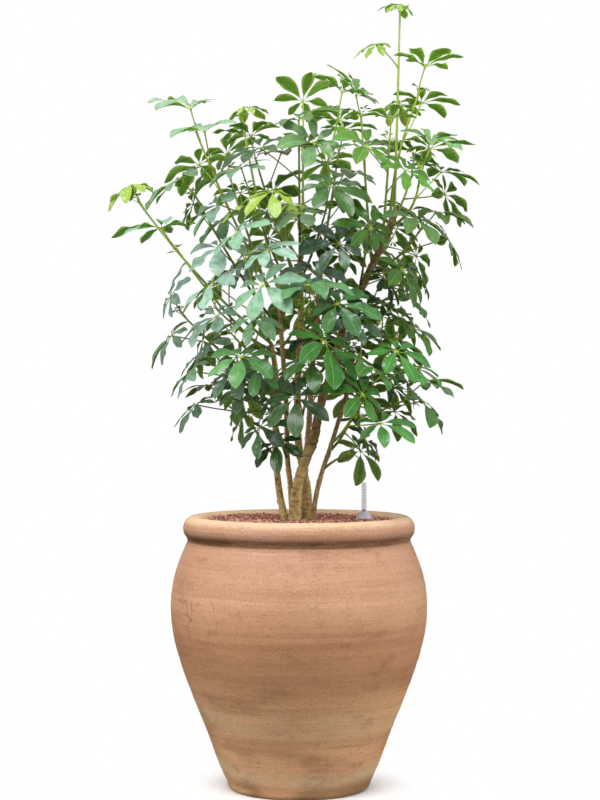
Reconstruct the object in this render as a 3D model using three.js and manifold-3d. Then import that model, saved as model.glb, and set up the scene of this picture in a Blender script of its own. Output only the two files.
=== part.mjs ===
// A potted umbrella plant (Schefflera), grown in clay granulate in a bellied terracotta pot.
// Six woody stems leave the granulate close together. Leafy shoots grow from them, and each shoot
// carries umbrella leaves: leaflets that spread from one hub at the end of a long leaf stalk.
// A water gauge stands in the granulate: a grey body with a collar, a clear tube and a red float.
// Millimetres, +Z up, +X to the viewer's right, -Y towards the viewer. The origin is the centre of
// the pot's flat underside.
import * as THREE from "three";
import { mergeVertices } from "three/addons/utils/BufferGeometryUtils.js";
import Module from "manifold-3d";

const wasm = await Module();
wasm.setup();

// ---------- Driving dimensions ----------
const POT_SIDES = 32;
const WALL = 20; // thickness of the pot's wall
const FLOOR = 24; // thickness of the pot's bottom
const FOOT_RADIUS = 126; // flat part of the underside
const FOOT_ROUND = 14; // rounded edge round the underside
// The pot's outside from foot to neck, as radius and height.
const POT_OUTSIDE = [
  [140, 14],
  [157, 50],
  [180, 113],
  [205, 175],
  [228, 237],
  [245, 300],
  [250, 355],
  [244, 409],
  [228, 457],
  [217, 482],
];
const BEAD = { radius: 206, height: 506, across: 20, up: 23 }; // the rolled rim

const SOIL_TOP = 520; // mean height of the granulate
const SOIL_RELIEF = 3.4; // how far its lumps rise and dip
const SOIL_RINGS = 13; // rings of points in its surface
const SOIL_RIM_RING = 174; // radius of the outermost
const GAP = 0.4; // between pieces that touch

const GAUGE = { x: 127, y: 10 };
const GAUGE_FOOT = 36; // height of the gauge body's lower end in the granulate
const GAUGE_BODY_RADIUS = 7;
const COLLAR_RADIUS = 16;
const COLLAR_TOP = 537;
const TUBE_TOP = 594;
const TUBE_RADIUS = 5.2;
const TUBE_BORE = 3.6;
const FLOAT_TIP = 541; // top of the red float at its lowest reading
const GAUGE_WALL = 1.5;
const LIP_HEIGHT = 4; // of the lip at its foot that holds the float
const COLLAR_LIFT = 2.5; // from the granulate's mean height to the collar's underside
const LEVEL_ROUND_GAUGE = 50; // within this distance of it the granulate stays under the collar

const STEM_SIDES = 6;
const BURIED = 70; // how deep a stem's end stands in the granulate
// Woody stems: radius at the foot and at the top, then the points that each one passes through.
const STEMS = {
  left: [
    7.5, 5, [-27, 2, 517], [-38, 1, 576], [-45, -4, 635], [-46, -8, 732], [-45, -10, 800],
    [-54, -14, 868],
  ],
  inner: [
    6, 4.5, [-12, 22, 517], [-17, 25, 586], [-23, 27, 640], [-24, 30, 711], [-27, 34, 780],
    [-35, 40, 888], [-39, 46, 967],
  ],
  main: [
    12, 6.5, [-9, -13, 517], [-4, -13, 581], [10, -11, 631], [27, -7, 671], [41, 0, 741],
    [68, 8, 819], [92, 14, 913], [123, 10, 975], [146, 4, 1024], [167, 0, 1068], [189, -4, 1126],
  ],
  centre: [
    9.5, 5.5, [16, 7, 517], [17, 11, 575], [9, 18, 614], [-1, 26, 672], [-3, 32, 750],
    [0, 37, 848], [4, 40, 937], [2, 42, 1021], [8, 42, 1055],
  ],
  right: [
    5.5, 4, [25, -11, 517], [36, -12, 582], [46, -14, 619], [58, -18, 654], [79, -24, 722],
    [95, -30, 775], [118, -36, 844],
  ],
  back: [
    7, 4.5, [10, 38, 517], [12, 54, 612], [20, 76, 710], [28, 102, 829], [38, 130, 949],
    [46, 150, 1051],
  ],
};

// Leafy shoots: the stem each grows from and at what height, its tip, its number of leaves, the
// compass direction of the leaf below its tip in degrees (0 is +X, 270 is the viewer), the length of
// its leaflets and its tone.
const SHOOTS = [
  ["shoot_top_leader", "main", 1114, [196, 0, 1502], 3, 215, 50, "young"],
  ["shoot_top_right", "main", 1090, [232, -34, 1200], 3, 285, 84, "fresh"],
  ["shoot_top_right_back", "main", 1075, [225, 110, 1200], 2, 30, 78, "mature"],
  ["shoot_upper_right_front", "main", 1056, [172, -90, 1240], 3, 210, 78, "fresh"],
  ["shoot_upper_right_high", "main", 1016, [122, 30, 1306], 3, 150, 78, "fresh"],
  ["shoot_upper_middle", "centre", 1028, [76, -25, 1302], 2, 240, 82, "fresh"],
  ["shoot_upper_middle_left", "centre", 1006, [0, -45, 1244], 3, 200, 82, "mature"],
  ["shoot_upper_middle_high", "centre", 1053, [8, 80, 1304], 2, 60, 76, "fresh"],
  ["shoot_upper_centre_back", "back", 1040, [80, 180, 1255], 3, 100, 78, "mature"],
  ["shoot_left_top", "inner", 940, [-196, -40, 1266], 4, 290, 88, "fresh"],
  ["shoot_left_top_tall", "inner", 963, [-112, 50, 1306], 1, 0, 54, "young"],
  ["shoot_left_top_back", "inner", 915, [-140, 130, 1205], 3, 100, 76, "mature"],
  ["shoot_left_upper", "inner", 890, [-198, -30, 1146], 3, 120, 82, "mature"],
  ["shoot_middle_left_upper", "centre", 974, [-84, 0, 1222], 3, 10, 80, "mature"],
  ["shoot_centre_lime", "centre", 950, [-42, -115, 1110], 2, 30, 76, "young"],
  ["shoot_centre_upper_front", "centre", 988, [52, -100, 1118], 3, 200, 80, "mature"],
  ["shoot_front_left_pale", "left", 855, [-98, -125, 1015], 2, 300, 94, "fresh"],
  ["shoot_left_pale", "left", 835, [-228, -80, 1036], 1, 0, 100, "fresh"],
  ["shoot_far_left", "left", 864, [-306, -40, 1132], 1, 0, 76, "young"],
  ["shoot_left_middle_pale", "left", 815, [-120, -80, 872], 2, 290, 88, "fresh"],
  ["shoot_front_centre_pale", "inner", 860, [8, -150, 930], 2, 300, 94, "fresh"],
  ["shoot_left_middle", "left", 775, [-226, 0, 920], 2, 210, 70, "mature"],
  ["shoot_left_middle_back", "inner", 840, [-165, 120, 935], 2, 150, 76, "mature"],
  ["shoot_left_low", "left", 728, [-150, -48, 826], 3, 200, 70, "mature"],
  ["shoot_left_lower", "left", 690, [-146, 15, 750], 3, 230, 68, "mature"],
  ["shoot_left_low_back", "inner", 725, [-110, 130, 800], 3, 80, 74, "mature"],
  ["shoot_left_bottom", "left", 645, [-94, -50, 718], 2, 320, 64, "mature"],
  ["shoot_front_low", "centre", 690, [20, -130, 800], 2, 230, 80, "mature"],
  ["shoot_front_low_left", "inner", 640, [-45, -85, 722], 2, 250, 64, "mature"],
  ["shoot_front_right_bright", "right", 672, [104, -135, 732], 2, 330, 76, "fresh"],
  ["shoot_right_low_front", "right", 745, [165, -100, 812], 2, 190, 80, "fresh"],
  ["shoot_right_low", "right", 715, [208, -10, 756], 3, 320, 76, "mature"],
  ["shoot_right_bottom", "right", 618, [92, -30, 650], 1, 0, 68, "mature"],
  ["shoot_right_bottom_back", "right", 655, [105, 95, 715], 2, 60, 74, "mature"],
  ["shoot_right_middle", "main", 830, [182, -20, 866], 2, 30, 74, "mature"],
  ["shoot_right_middle_front", "main", 800, [94, -115, 862], 1, 0, 80, "mature"],
  ["shoot_right_outer", "main", 925, [198, 20, 972], 2, 320, 72, "mature"],
  ["shoot_right_middle_back", "main", 870, [160, 140, 905], 2, 60, 76, "mature"],
  ["shoot_right_upper", "main", 1000, [232, -35, 1080], 3, 250, 76, "mature"],
  ["shoot_right_upper_front", "main", 960, [125, -120, 1035], 3, 190, 80, "mature"],
  ["shoot_right_upper_back", "main", 1036, [182, 130, 1072], 3, 40, 76, "mature"],
  ["shoot_back_middle", "back", 900, [40, 225, 935], 3, 150, 76, "mature"],
  ["shoot_back_low", "back", 720, [25, 185, 785], 2, 30, 74, "mature"],
  ["shoot_back_upper", "back", 1000, [-45, 215, 1100], 3, 120, 76, "mature"],
  ["shoot_right_low_back", "right", 790, [170, 90, 820], 2, 90, 74, "mature"],
  ["shoot_middle_front", "centre", 880, [75, -75, 985], 2, 240, 80, "mature"],
  ["shoot_left_middle_high", "centre", 930, [-96, -60, 1155], 3, 180, 80, "mature"],
  ["shoot_top_leader_side", "main", 1094, [230, -40, 1342], 2, 120, 88, "fresh"],
];

const SHOOT_RADIUS = [3.4, 2.0]; // at the stem and at the tip
const STALK_RADIUS = 1.4;
const SHOOT_STEPS = 4;
const LEAFLETS = 7;
const HUB_RADIUS = 4.2;
const BLADE = 0.9; // thickness of a leaflet at its rib
const HALF_WIDTH = 0.205; // of a leaflet, as a share of its length
const WIDEST = 0.58; // where along a leaflet it is widest
const LARGEST = 1.13; // of a shoot's leaves, over the leaflet length in SHOOTS
const FRONT_LONGER = 0.22; // how much longer the front leaflets are than those at the side
const HUB_PEAK = 1.6; // height of the hub's cone over its middle
const HUB_DEPTH = 3; // from the hub's middle down to where the stalk ends
const TIP_STALK = 0.7; // the uppermost leaf's stalk, as a share of the leaflet length
const SIDE_STALK = 1.15; // the other leaves' stalks
const TIP_SPOT = 0.97; // where along the shoot the uppermost leaf sits
const LEAFY_PART = 0.6; // the share of the shoot that carries leaves
const SIDE_ANGLE = 0.95; // between a side leaf's stalk and the shoot, in radians
const ARCH = 0.2; // how far a leaflet's outer part bends under
const HANG = 0.22; // how far it bends to the ground
const DROOP = { young: 0.3, fresh: -0.1, mature: 0.02 }; // of the leaflets' inner part, in radians
const RAISED = 0.32; // how much less it is at the crown's top
const GOLDEN_TURN = THREE.MathUtils.degToRad(137.5);
const PLANT_AXIS = [30, 25]; // the crown's middle in plan

const TRIES = 60; // places that a leaf tries before it isn't grown
const LOOSEST = 30; // the try from which on its draws are as wide as they get
const CLEAR_FACE = 1.7; // room kept over and under a leaflet
const CLEAR_EDGE = 1.5; // room kept beside it
const CLEAR_TUBE = 5; // room kept between stalks

const TONES = {
  mature: new THREE.MeshStandardMaterial({ color: 0x2f5a34, roughness: 0.45 }),
  fresh: new THREE.MeshStandardMaterial({ color: 0x4f9048, roughness: 0.45 }),
  young: new THREE.MeshStandardMaterial({ color: 0x93b93a, roughness: 0.5 }),
};
const TERRACOTTA = new THREE.MeshStandardMaterial({ color: 0xc6946c, roughness: 0.85 });
const GRANULATE = new THREE.MeshStandardMaterial({ color: 0x7e4237, roughness: 0.9 });
const BARK = new THREE.MeshStandardMaterial({ color: 0x8a6f45, roughness: 0.85 });
const GREY_PLASTIC = new THREE.MeshStandardMaterial({ color: 0x9a9ca4, roughness: 0.4 });
const CLEAR_PLASTIC = new THREE.MeshStandardMaterial({ color: 0xdddde2, roughness: 0.2 });
const RED_PLASTIC = new THREE.MeshStandardMaterial({ color: 0xa8321f, roughness: 0.4 });

// ---------- Small helpers ----------
const vec = (x, y, z) => new THREE.Vector3(x, y, z);
const UP = vec(0, 0, 1);
const along = (a, b, t) => a.clone().lerp(b, t);

let state = 1;
function random() {
  state = (state * 1664525 + 1013904223) % 4294967296;
  return state / 4294967296;
}
function startRandom(number) {
  state = number * 7919 + 17;
  for (let i = 0; i < 4; i++) random();
}
const spread = (size) => (2 * random() - 1) * size;

// A closed mesh, given as flat points and triangles, as a solid.
function solid(points, triangles) {
  return new wasm.Manifold(
    new wasm.Mesh({
      numProp: 3,
      vertProperties: new Float32Array(points),
      triVerts: new Uint32Array(triangles),
    }),
  );
}

function solidOf(geometry) {
  const bare = geometry.clone();
  bare.deleteAttribute("normal");
  bare.deleteAttribute("uv");
  const merged = mergeVertices(bare, 1e-4);
  return solid(merged.attributes.position.array, merged.index.array);
}

function geometryOf(made) {
  const mesh = made.getMesh();
  const geometry = new THREE.BufferGeometry();
  geometry.setAttribute("position", new THREE.BufferAttribute(mesh.vertProperties, 3));
  geometry.setIndex(new THREE.BufferAttribute(mesh.triVerts, 1));
  return geometry;
}

// A closed tube through the points, with one radius for each and flat ends.
function tube(points, radii, sides) {
  const positions = [];
  const triangles = [];
  let across = Math.abs(points[1].clone().sub(points[0]).normalize().x) < 0.9 ? vec(1, 0, 0) : UP;
  points.forEach((point, i) => {
    const before = points[Math.max(i - 1, 0)];
    const after = points[Math.min(i + 1, points.length - 1)];
    const forward = after.clone().sub(before).normalize();
    across = across.clone().addScaledVector(forward, -across.dot(forward)).normalize();
    const beside = forward.clone().cross(across);
    for (let k = 0; k < sides; k++) {
      const turn = (2 * Math.PI * k) / sides;
      const corner = point
        .clone()
        .addScaledVector(across, radii[i] * Math.cos(turn))
        .addScaledVector(beside, radii[i] * Math.sin(turn));
      positions.push(...corner.toArray());
    }
  });
  for (let i = 0; i + 1 < points.length; i++)
    for (let k = 0; k < sides; k++) {
      const a = i * sides + k;
      const b = i * sides + ((k + 1) % sides);
      triangles.push(a, b, b + sides, a, b + sides, a + sides);
    }
  const last = (points.length - 1) * sides;
  for (let k = 1; k + 1 < sides; k++) triangles.push(0, k + 1, k, last, last + k, last + k + 1);
  return solid(positions, triangles);
}

// ---------- Pot, granulate and gauge ----------
function arc(centre, across, up, from, to, steps) {
  const points = [];
  for (let i = 0; i <= steps; i++) {
    const turn = THREE.MathUtils.degToRad(from + ((to - from) * i) / steps);
    points.push(new THREE.Vector2(centre[0] + across * Math.cos(turn), centre[1] + up * Math.sin(turn)));
  }
  return points;
}

// Turned solids are made about Y by LatheGeometry, and stand up on Z here.
const turned = (profile, sides) => new THREE.LatheGeometry(profile, sides).rotateX(Math.PI / 2);

const outside = new THREE.SplineCurve(POT_OUTSIDE.map(([r, z]) => new THREE.Vector2(r, z)));
// Points up the inside of the pot's wall, from its floor to the rim, kept `clear` away from it.
function insidePoints(clear) {
  const points = [];
  for (let i = 1; i <= 4; i++) {
    const point = outside.getPoint(i / 5);
    points.push(new THREE.Vector2(point.x - WALL - clear, point.y));
  }
  const floor = new THREE.Vector2(points[0].x - 12, FLOOR + clear);
  return [floor, ...points];
}

function makePot() {
  const foot = arc([FOOT_RADIUS, FOOT_ROUND], FOOT_ROUND, FOOT_ROUND, -90, -30, 1);
  const wall = outside.getPoints(8);
  const bead = arc([BEAD.radius, BEAD.height], BEAD.across, BEAD.up, -50, 205, 7);
  const inside = insidePoints(0).reverse();
  const profile = [
    new THREE.Vector2(0, 0),
    ...foot,
    ...wall,
    ...bead,
    ...inside,
    new THREE.Vector2(0, FLOOR),
  ];
  return turned(profile, POT_SIDES);
}

// The lumps of the granulate's surface. It stays under the gauge's collar.
function soilLevel(radius, turn) {
  const lump = Math.sin(radius * 0.47 + 7 * turn) * Math.cos(radius * 0.31 - 11 * turn);
  const fromGauge = Math.hypot(radius * Math.cos(turn) - GAUGE.x, radius * Math.sin(turn) - GAUGE.y);
  const most = fromGauge < LEVEL_ROUND_GAUGE ? COLLAR_LIFT - 1 : SOIL_RELIEF;
  return SOIL_TOP + Math.min(SOIL_RELIEF * lump, most);
}

// The granulate fills the pot. Its top is a net of points that rise and dip by a formula.
function makeGranulate() {
  const inner = BEAD.radius - BEAD.across - 2;
  const side = insidePoints(GAP + 0.6);
  const positions = [0, 0, side[0].y];
  const neck = [BEAD.height - 14, SOIL_TOP - 3].map((z) => new THREE.Vector2(inner, z));
  const rings = [...side, ...neck];
  const top = Array.from({ length: SOIL_RINGS }, (_, i) => SOIL_RIM_RING * (1 - i / SOIL_RINGS));
  const steps = Array.from({ length: POT_SIDES }, (_, k) => (2 * Math.PI * k) / POT_SIDES);
  const put = (radius, turn, z) =>
    positions.push(radius * Math.cos(turn), radius * Math.sin(turn), z);
  for (const ring of rings) for (const turn of steps) put(ring.x, turn, ring.y);
  for (const radius of top) for (const turn of steps) put(radius, turn, soilLevel(radius, turn));
  const last = positions.length / 3;
  positions.push(0, 0, SOIL_TOP);
  const triangles = [];
  const count = rings.length + top.length;
  for (let k = 0; k < POT_SIDES; k++) {
    const next = (k + 1) % POT_SIDES;
    triangles.push(0, 1 + next, 1 + k);
    for (let i = 0; i + 1 < count; i++) {
      const a = 1 + i * POT_SIDES + k;
      const b = 1 + i * POT_SIDES + next;
      triangles.push(a, b, b + POT_SIDES, a, b + POT_SIDES, a + POT_SIDES);
    }
    const edge = 1 + (count - 1) * POT_SIDES;
    triangles.push(edge + k, edge + next, last);
  }
  return solid(positions, triangles);
}

const GAUGE_SIDES = 8;
const flat = (pairs) => pairs.map(([r, z]) => new THREE.Vector2(r, z));
// The gauge's body: a tube down to the pot's floor, under a domed collar. A lip holds the float.
function makeGaugeBody() {
  const bore = GAUGE_BODY_RADIUS - GAUGE_WALL;
  const lip = bore - 1.5;
  const under = SOIL_TOP + COLLAR_LIFT;
  return turned(
    flat([
      [lip, GAUGE_FOOT],
      [GAUGE_BODY_RADIUS, GAUGE_FOOT],
      [GAUGE_BODY_RADIUS, under],
      [COLLAR_RADIUS, under],
      [COLLAR_RADIUS - 0.5, under + 2.5],
      [COLLAR_RADIUS - 4, under + 7.5],
      [TUBE_RADIUS + 1.2, COLLAR_TOP],
      [TUBE_BORE, COLLAR_TOP],
      [TUBE_BORE, SOIL_TOP - 4],
      [bore, SOIL_TOP - 8],
      [bore, GAUGE_FOOT + LIP_HEIGHT],
      [lip, GAUGE_FOOT + LIP_HEIGHT],
      [lip, GAUGE_FOOT],
    ]),
    GAUGE_SIDES,
  );
}

// The clear tube on the collar: a little wider at its foot, and closed at its top.
function makeGaugeTube() {
  const low = COLLAR_TOP + 0.3;
  const wide = TUBE_RADIUS + 0.5;
  return turned(
    flat([
      [TUBE_BORE, low],
      [wide, low],
      [wide, COLLAR_TOP + 24],
      [TUBE_RADIUS, COLLAR_TOP + 26],
      [TUBE_RADIUS, TUBE_TOP - 0.8],
      [TUBE_RADIUS - 0.8, TUBE_TOP],
      [0, TUBE_TOP],
      [0, TUBE_TOP - 3],
      [TUBE_BORE, TUBE_TOP - 3],
      [TUBE_BORE, low],
    ]),
    GAUGE_SIDES,
  );
}

// The float: a fat body low down, and a thin rod that carries the red tip into the tube.
function makeGaugeFloat() {
  const low = GAUGE_FOOT + LIP_HEIGHT + 0.3;
  return turned(
    flat([
      [0, low],
      [4.6, low],
      [4.6, low + 60],
      [1.2, low + 63],
      [1.2, FLOAT_TIP - 6],
      [2.4, FLOAT_TIP - 5],
      [2.4, FLOAT_TIP - 1.2],
      [1.4, FLOAT_TIP],
      [0, FLOAT_TIP],
    ]),
    10,
  );
}

// ---------- Woody stems ----------
// A stem's centre line as closely spaced points, with the radius at each. The buried end is straight.
function stemLine(name) {
  const [low, high, ...route] = STEMS[name];
  const curve = new THREE.CatmullRomCurve3(route.map((p) => vec(...p)));
  const steps = 2 * (route.length - 1);
  const points = [];
  const radii = [];
  for (let i = 0; i <= steps; i++) {
    points.push(curve.getPoint(i / steps));
    const knot = i % 2 ? 0.94 : 1.05; // a leaf scar or an old cut stands out at every other step
    radii.push((low + (high - low) * Math.sqrt(i / steps)) * knot);
  }
  const foot = points[0];
  points.unshift(vec(foot.x, foot.y, foot.z - BURIED));
  radii.unshift(low * 0.9);
  return { points, radii };
}

const stemLines = Object.fromEntries(Object.keys(STEMS).map((name) => [name, stemLine(name)]));
// A stem as a solid, grown by `more` on its sides and both ends.
function stemTube(name, more) {
  const { points, radii } = stemLines[name];
  const line = points.map((p) => p.clone());
  const last = line.length - 1;
  line[0].z -= more;
  line[last].add(line[last].clone().sub(line[last - 1]).setLength(more));
  return tube(line, radii.map((r) => r + more), STEM_SIDES);
}

// The point on a stem's centre line at a given height.
function stemPoint(name, height) {
  const { points } = stemLines[name];
  const i = Math.max(points.findIndex((p) => p.z > height), 1);
  const [a, b] = [points[i - 1], points[i]];
  return along(a, b, (height - a.z) / (b.z - a.z));
}

// ---------- Room: what has grown so far, and whether something new is clear of it ----------
const tubes = []; // segments of stems, shoots and leaf stalks: { p, q, r, of }
const grown = []; // leaves: { hub, reach, edges, prisms }

// The half-spaces that bound a triangle thickened by the room it needs: each is a normal and a limit.
function prism(a, b, c) {
  const normal = b.clone().sub(a).cross(c.clone().sub(a)).normalize();
  const level = normal.dot(a);
  const planes = [
    [normal, level + CLEAR_FACE],
    [normal.clone().negate(), CLEAR_FACE - level],
  ];
  for (const [p, q] of [[a, b], [b, c], [c, a]]) {
    const outward = q.clone().sub(p).cross(normal).normalize();
    planes.push([outward, outward.dot(p) + CLEAR_EDGE]);
  }
  return planes;
}

// Whether the segment from p to q, of radius r, enters the half-spaces.
function enters(p, q, r, planes) {
  let low = 0;
  let high = 1;
  for (const [normal, limit] of planes) {
    const a = normal.dot(p) - limit - r;
    const b = normal.dot(q) - limit - r;
    if (a > 0 && b > 0) return false;
    if (a > 0) low = Math.max(low, a / (a - b));
    if (b > 0) high = Math.min(high, a / (a - b));
  }
  return low < high;
}

function nearSegment(point, p, q, room) {
  const d = q.clone().sub(p);
  const t = Math.min(Math.max(point.clone().sub(p).dot(d) / d.lengthSq(), 0), 1);
  return point.distanceTo(p.clone().addScaledVector(d, t)) < room;
}

// Whether any of the points lies too close to a stem, shoot or stalk that isn't `own`.
const crowded = (points, r, own) =>
  points.some((point) =>
    tubes.some((t) => t.of !== own && nearSegment(point, t.p, t.q, t.r + r + CLEAR_TUBE)),
  );

function addTube(points, radii, of) {
  for (let i = 0; i + 1 < points.length; i++)
    tubes.push({ p: points[i], q: points[i + 1], r: Math.max(radii[i], radii[i + 1]), of });
}

// ---------- Shoots ----------
const bend = (base, control, tip, t) => along(along(base, control, t), along(control, tip, t), t);

// A shoot leaves its stem outwards and turns up towards its tip. It is bent until it is clear.
function growShoot([name, stem, height, tip, leaves, turn, length, tone], index) {
  const base = stemPoint(stem, height);
  const end = vec(...tip);
  const size = base.distanceTo(end);
  let line;
  for (let attempt = 0; attempt < TRIES; attempt++) {
    startRandom(1000 + 100 * index + attempt);
    const control = along(base, end, 0.5).addScaledVector(UP, -0.1 * size);
    const reach = Math.min(attempt, 12) * 0.02 * size;
    control.add(vec(spread(reach), spread(reach), spread(reach)));
    const at = (t) => bend(base, control, end, t);
    line = Array.from({ length: SHOOT_STEPS + 1 }, (_, i) => at(i / SHOOT_STEPS));
    const tested = Array.from({ length: 24 }, (_, i) => at(0.2 + (0.8 * i) / 23));
    if (!crowded(tested, SHOOT_RADIUS[0], name)) break;
  }
  const radii = line.map((_, i) => {
    const t = i / SHOOT_STEPS;
    return SHOOT_RADIUS[0] + (SHOOT_RADIUS[1] - SHOOT_RADIUS[0]) * t;
  });
  addTube(line.slice(1), radii.slice(1), name);
  return { name, stem, tone, leaves, turn, length, line, radii, index, grown: [] };
}

// ---------- Umbrella leaves ----------
// One leaf as its hub, its stalk and its leaflets, each of which has a root, a left and a right corner
// where it is widest, and a tip. Leaflets spread round the hub, arch and hang towards their tips.
function umbrella(shoot, k, attempt) {
  startRandom(9000 + 700 * shoot.index + 90 * k + attempt);
  const loose = Math.min(attempt, LOOSEST) / LOOSEST;
  const at = (TIP_SPOT - (LEAFY_PART * k) / shoot.leaves) * SHOOT_STEPS;
  const step = Math.min(Math.floor(at), SHOOT_STEPS - 1);
  const [below, above] = [shoot.line[step], shoot.line[step + 1]];
  const root = along(below, above, at - step);
  const axis = above.clone().sub(below).normalize();

  const start = THREE.MathUtils.degToRad(shoot.turn);
  const turn = start + GOLDEN_TURN * (k - 1) + spread(0.3 + 2.8 * loose);
  const open = k === 0 ? spread(0.3 + 0.5 * loose) : SIDE_ANGLE + spread(0.25 + 0.35 * loose);
  const across = vec(1, 0, 0).addScaledVector(axis, -axis.x).normalize();
  const beside = axis.clone().cross(across);
  const radial = across.multiplyScalar(Math.cos(turn)).addScaledVector(beside, Math.sin(turn));
  const direction = axis
    .clone()
    .multiplyScalar(Math.cos(open))
    .addScaledVector(radial, Math.sin(open))
    .addScaledVector(UP, 0.25)
    .normalize();
  const share = k === 0 ? TIP_STALK : SIDE_STALK + 0.25 * spread(1);
  const stalk = shoot.length * share * (1 - 0.25 * loose * random());
  const hub = root.clone().addScaledVector(direction, stalk);

  // Leaves face up, or out of the crown, or between the two. High up they face up more.
  const outward = vec(hub.x - PLANT_AXIS[0], hub.y - PLANT_AXIS[1], 0).normalize();
  const high = THREE.MathUtils.smoothstep(hub.z, 1000, 1350);
  const facing = random() * (shoot.tone === "young" ? 0.3 : 1);
  const shake = 0.35 + 0.4 * loose;
  const normal = UP.clone()
    .multiplyScalar(1.05 - 0.65 * facing + 0.3 * high)
    .addScaledVector(outward, (0.15 + 1.15 * facing) * (1 - 0.45 * high))
    .addScaledVector(direction, 0.3)
    .add(vec(spread(shake), spread(shake), spread(0.2)))
    .normalize();
  // A leaf never folds back on its own stalk.
  const leaning = Math.max(0.45 - normal.dot(direction), 0);
  normal.addScaledVector(direction, leaning).normalize();
  const front = direction.clone().addScaledVector(normal, -direction.dot(normal)).normalize();
  const side = normal.clone().cross(front);
  const roll = spread(0.1);
  const raised = shoot.tone === "young" ? 0 : RAISED * high; // young leaflets still hang
  const droop = DROOP[shoot.tone] + 0.16 * random() - raised;
  const size = shoot.length * (LARGEST - 0.12 * random());

  const leaflets = [];
  for (let i = 0; i < LEAFLETS; i++) {
    const angle = roll + ((i - (LEAFLETS - 1) / 2) * 2 * Math.PI) / LEAFLETS;
    const [c, s] = [Math.cos(angle), Math.sin(angle)];
    const out = front.clone().multiplyScalar(c).addScaledVector(side, s);
    const width = front.clone().multiplyScalar(-s).addScaledVector(side, c);
    const shorter = 1 - FRONT_LONGER + FRONT_LONGER * Math.cos(angle - roll);
    const length = size * shorter * (1 + spread(0.06));
    const fall = droop + spread(0.12);
    const first = out
      .clone()
      .multiplyScalar(Math.cos(fall))
      .addScaledVector(normal, -Math.sin(fall));
    const second = first.clone().addScaledVector(normal, -ARCH).addScaledVector(UP, -HANG).normalize();
    const middle = hub.clone().addScaledVector(first, WIDEST * length);
    leaflets.push({
      out,
      width,
      root: hub.clone().addScaledVector(first, HUB_RADIUS),
      left: middle.clone().addScaledVector(width, -HALF_WIDTH * length),
      right: middle.clone().addScaledVector(width, HALF_WIDTH * length),
      tip: middle.clone().addScaledVector(second, (1 - WIDEST) * length),
    });
  }
  return { hub, normal, side, leaflets, stalk: [root, hub], reach: size + HUB_RADIUS };
}

function leafRoom(leaf) {
  const edges = [];
  const prisms = [];
  for (const { root, left, right, tip } of leaf.leaflets) {
    edges.push([root, left], [root, right], [left, right], [left, tip], [right, tip]);
    prisms.push(prism(root, left, right), prism(left, tip, right));
  }
  return { hub: leaf.hub, reach: leaf.reach, edges, prisms };
}

function isClear(leaf, room, own) {
  const stalkPoints = [];
  const [foot, head] = leaf.stalk;
  for (let i = 2; i <= 15; i++) stalkPoints.push(along(foot, head, i / 15));
  if (crowded(stalkPoints, STALK_RADIUS, own)) return false;
  for (const other of grown) {
    for (const planes of other.prisms)
      if (enters(foot, head, STALK_RADIUS, planes)) return false;
    if (other.hub.distanceTo(room.hub) > other.reach + room.reach) continue;
    for (const planes of other.prisms)
      if (room.edges.some(([p, q]) => enters(p, q, 0, planes))) return false;
    for (const planes of room.prisms)
      if (other.edges.some(([p, q]) => enters(p, q, 0, planes))) return false;
  }
  return !room.prisms.some((planes) => tubes.some((t) => enters(t.p, t.q, t.r, planes)));
}

// A leaf takes the first of its tries that is clear of all that has grown, or isn't grown.
function growLeaf(shoot, k) {
  for (let attempt = 0; attempt < TRIES; attempt++) {
    const leaf = umbrella(shoot, k, attempt);
    const room = leafRoom(leaf);
    if (!isClear(leaf, room, shoot.name)) continue;
    grown.push(room);
    addTube(leaf.stalk, leaf.stalk.map(() => STALK_RADIUS), shoot.name);
    shoot.grown.push(leaf);
    return;
  }
}

// The corners of the three-sided stalk about a point, where it runs along `forward`.
const TRIANGLE = [-2, 0, 2].map((third) => (third * Math.PI) / 3);
function stalkCorners(centre, forward, side, radius) {
  const ahead = side.clone().cross(forward).normalize();
  return TRIANGLE.map((turn) =>
    centre
      .clone()
      .addScaledVector(ahead, radius * Math.cos(turn))
      .addScaledVector(side, radius * Math.sin(turn)),
  );
}

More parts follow.
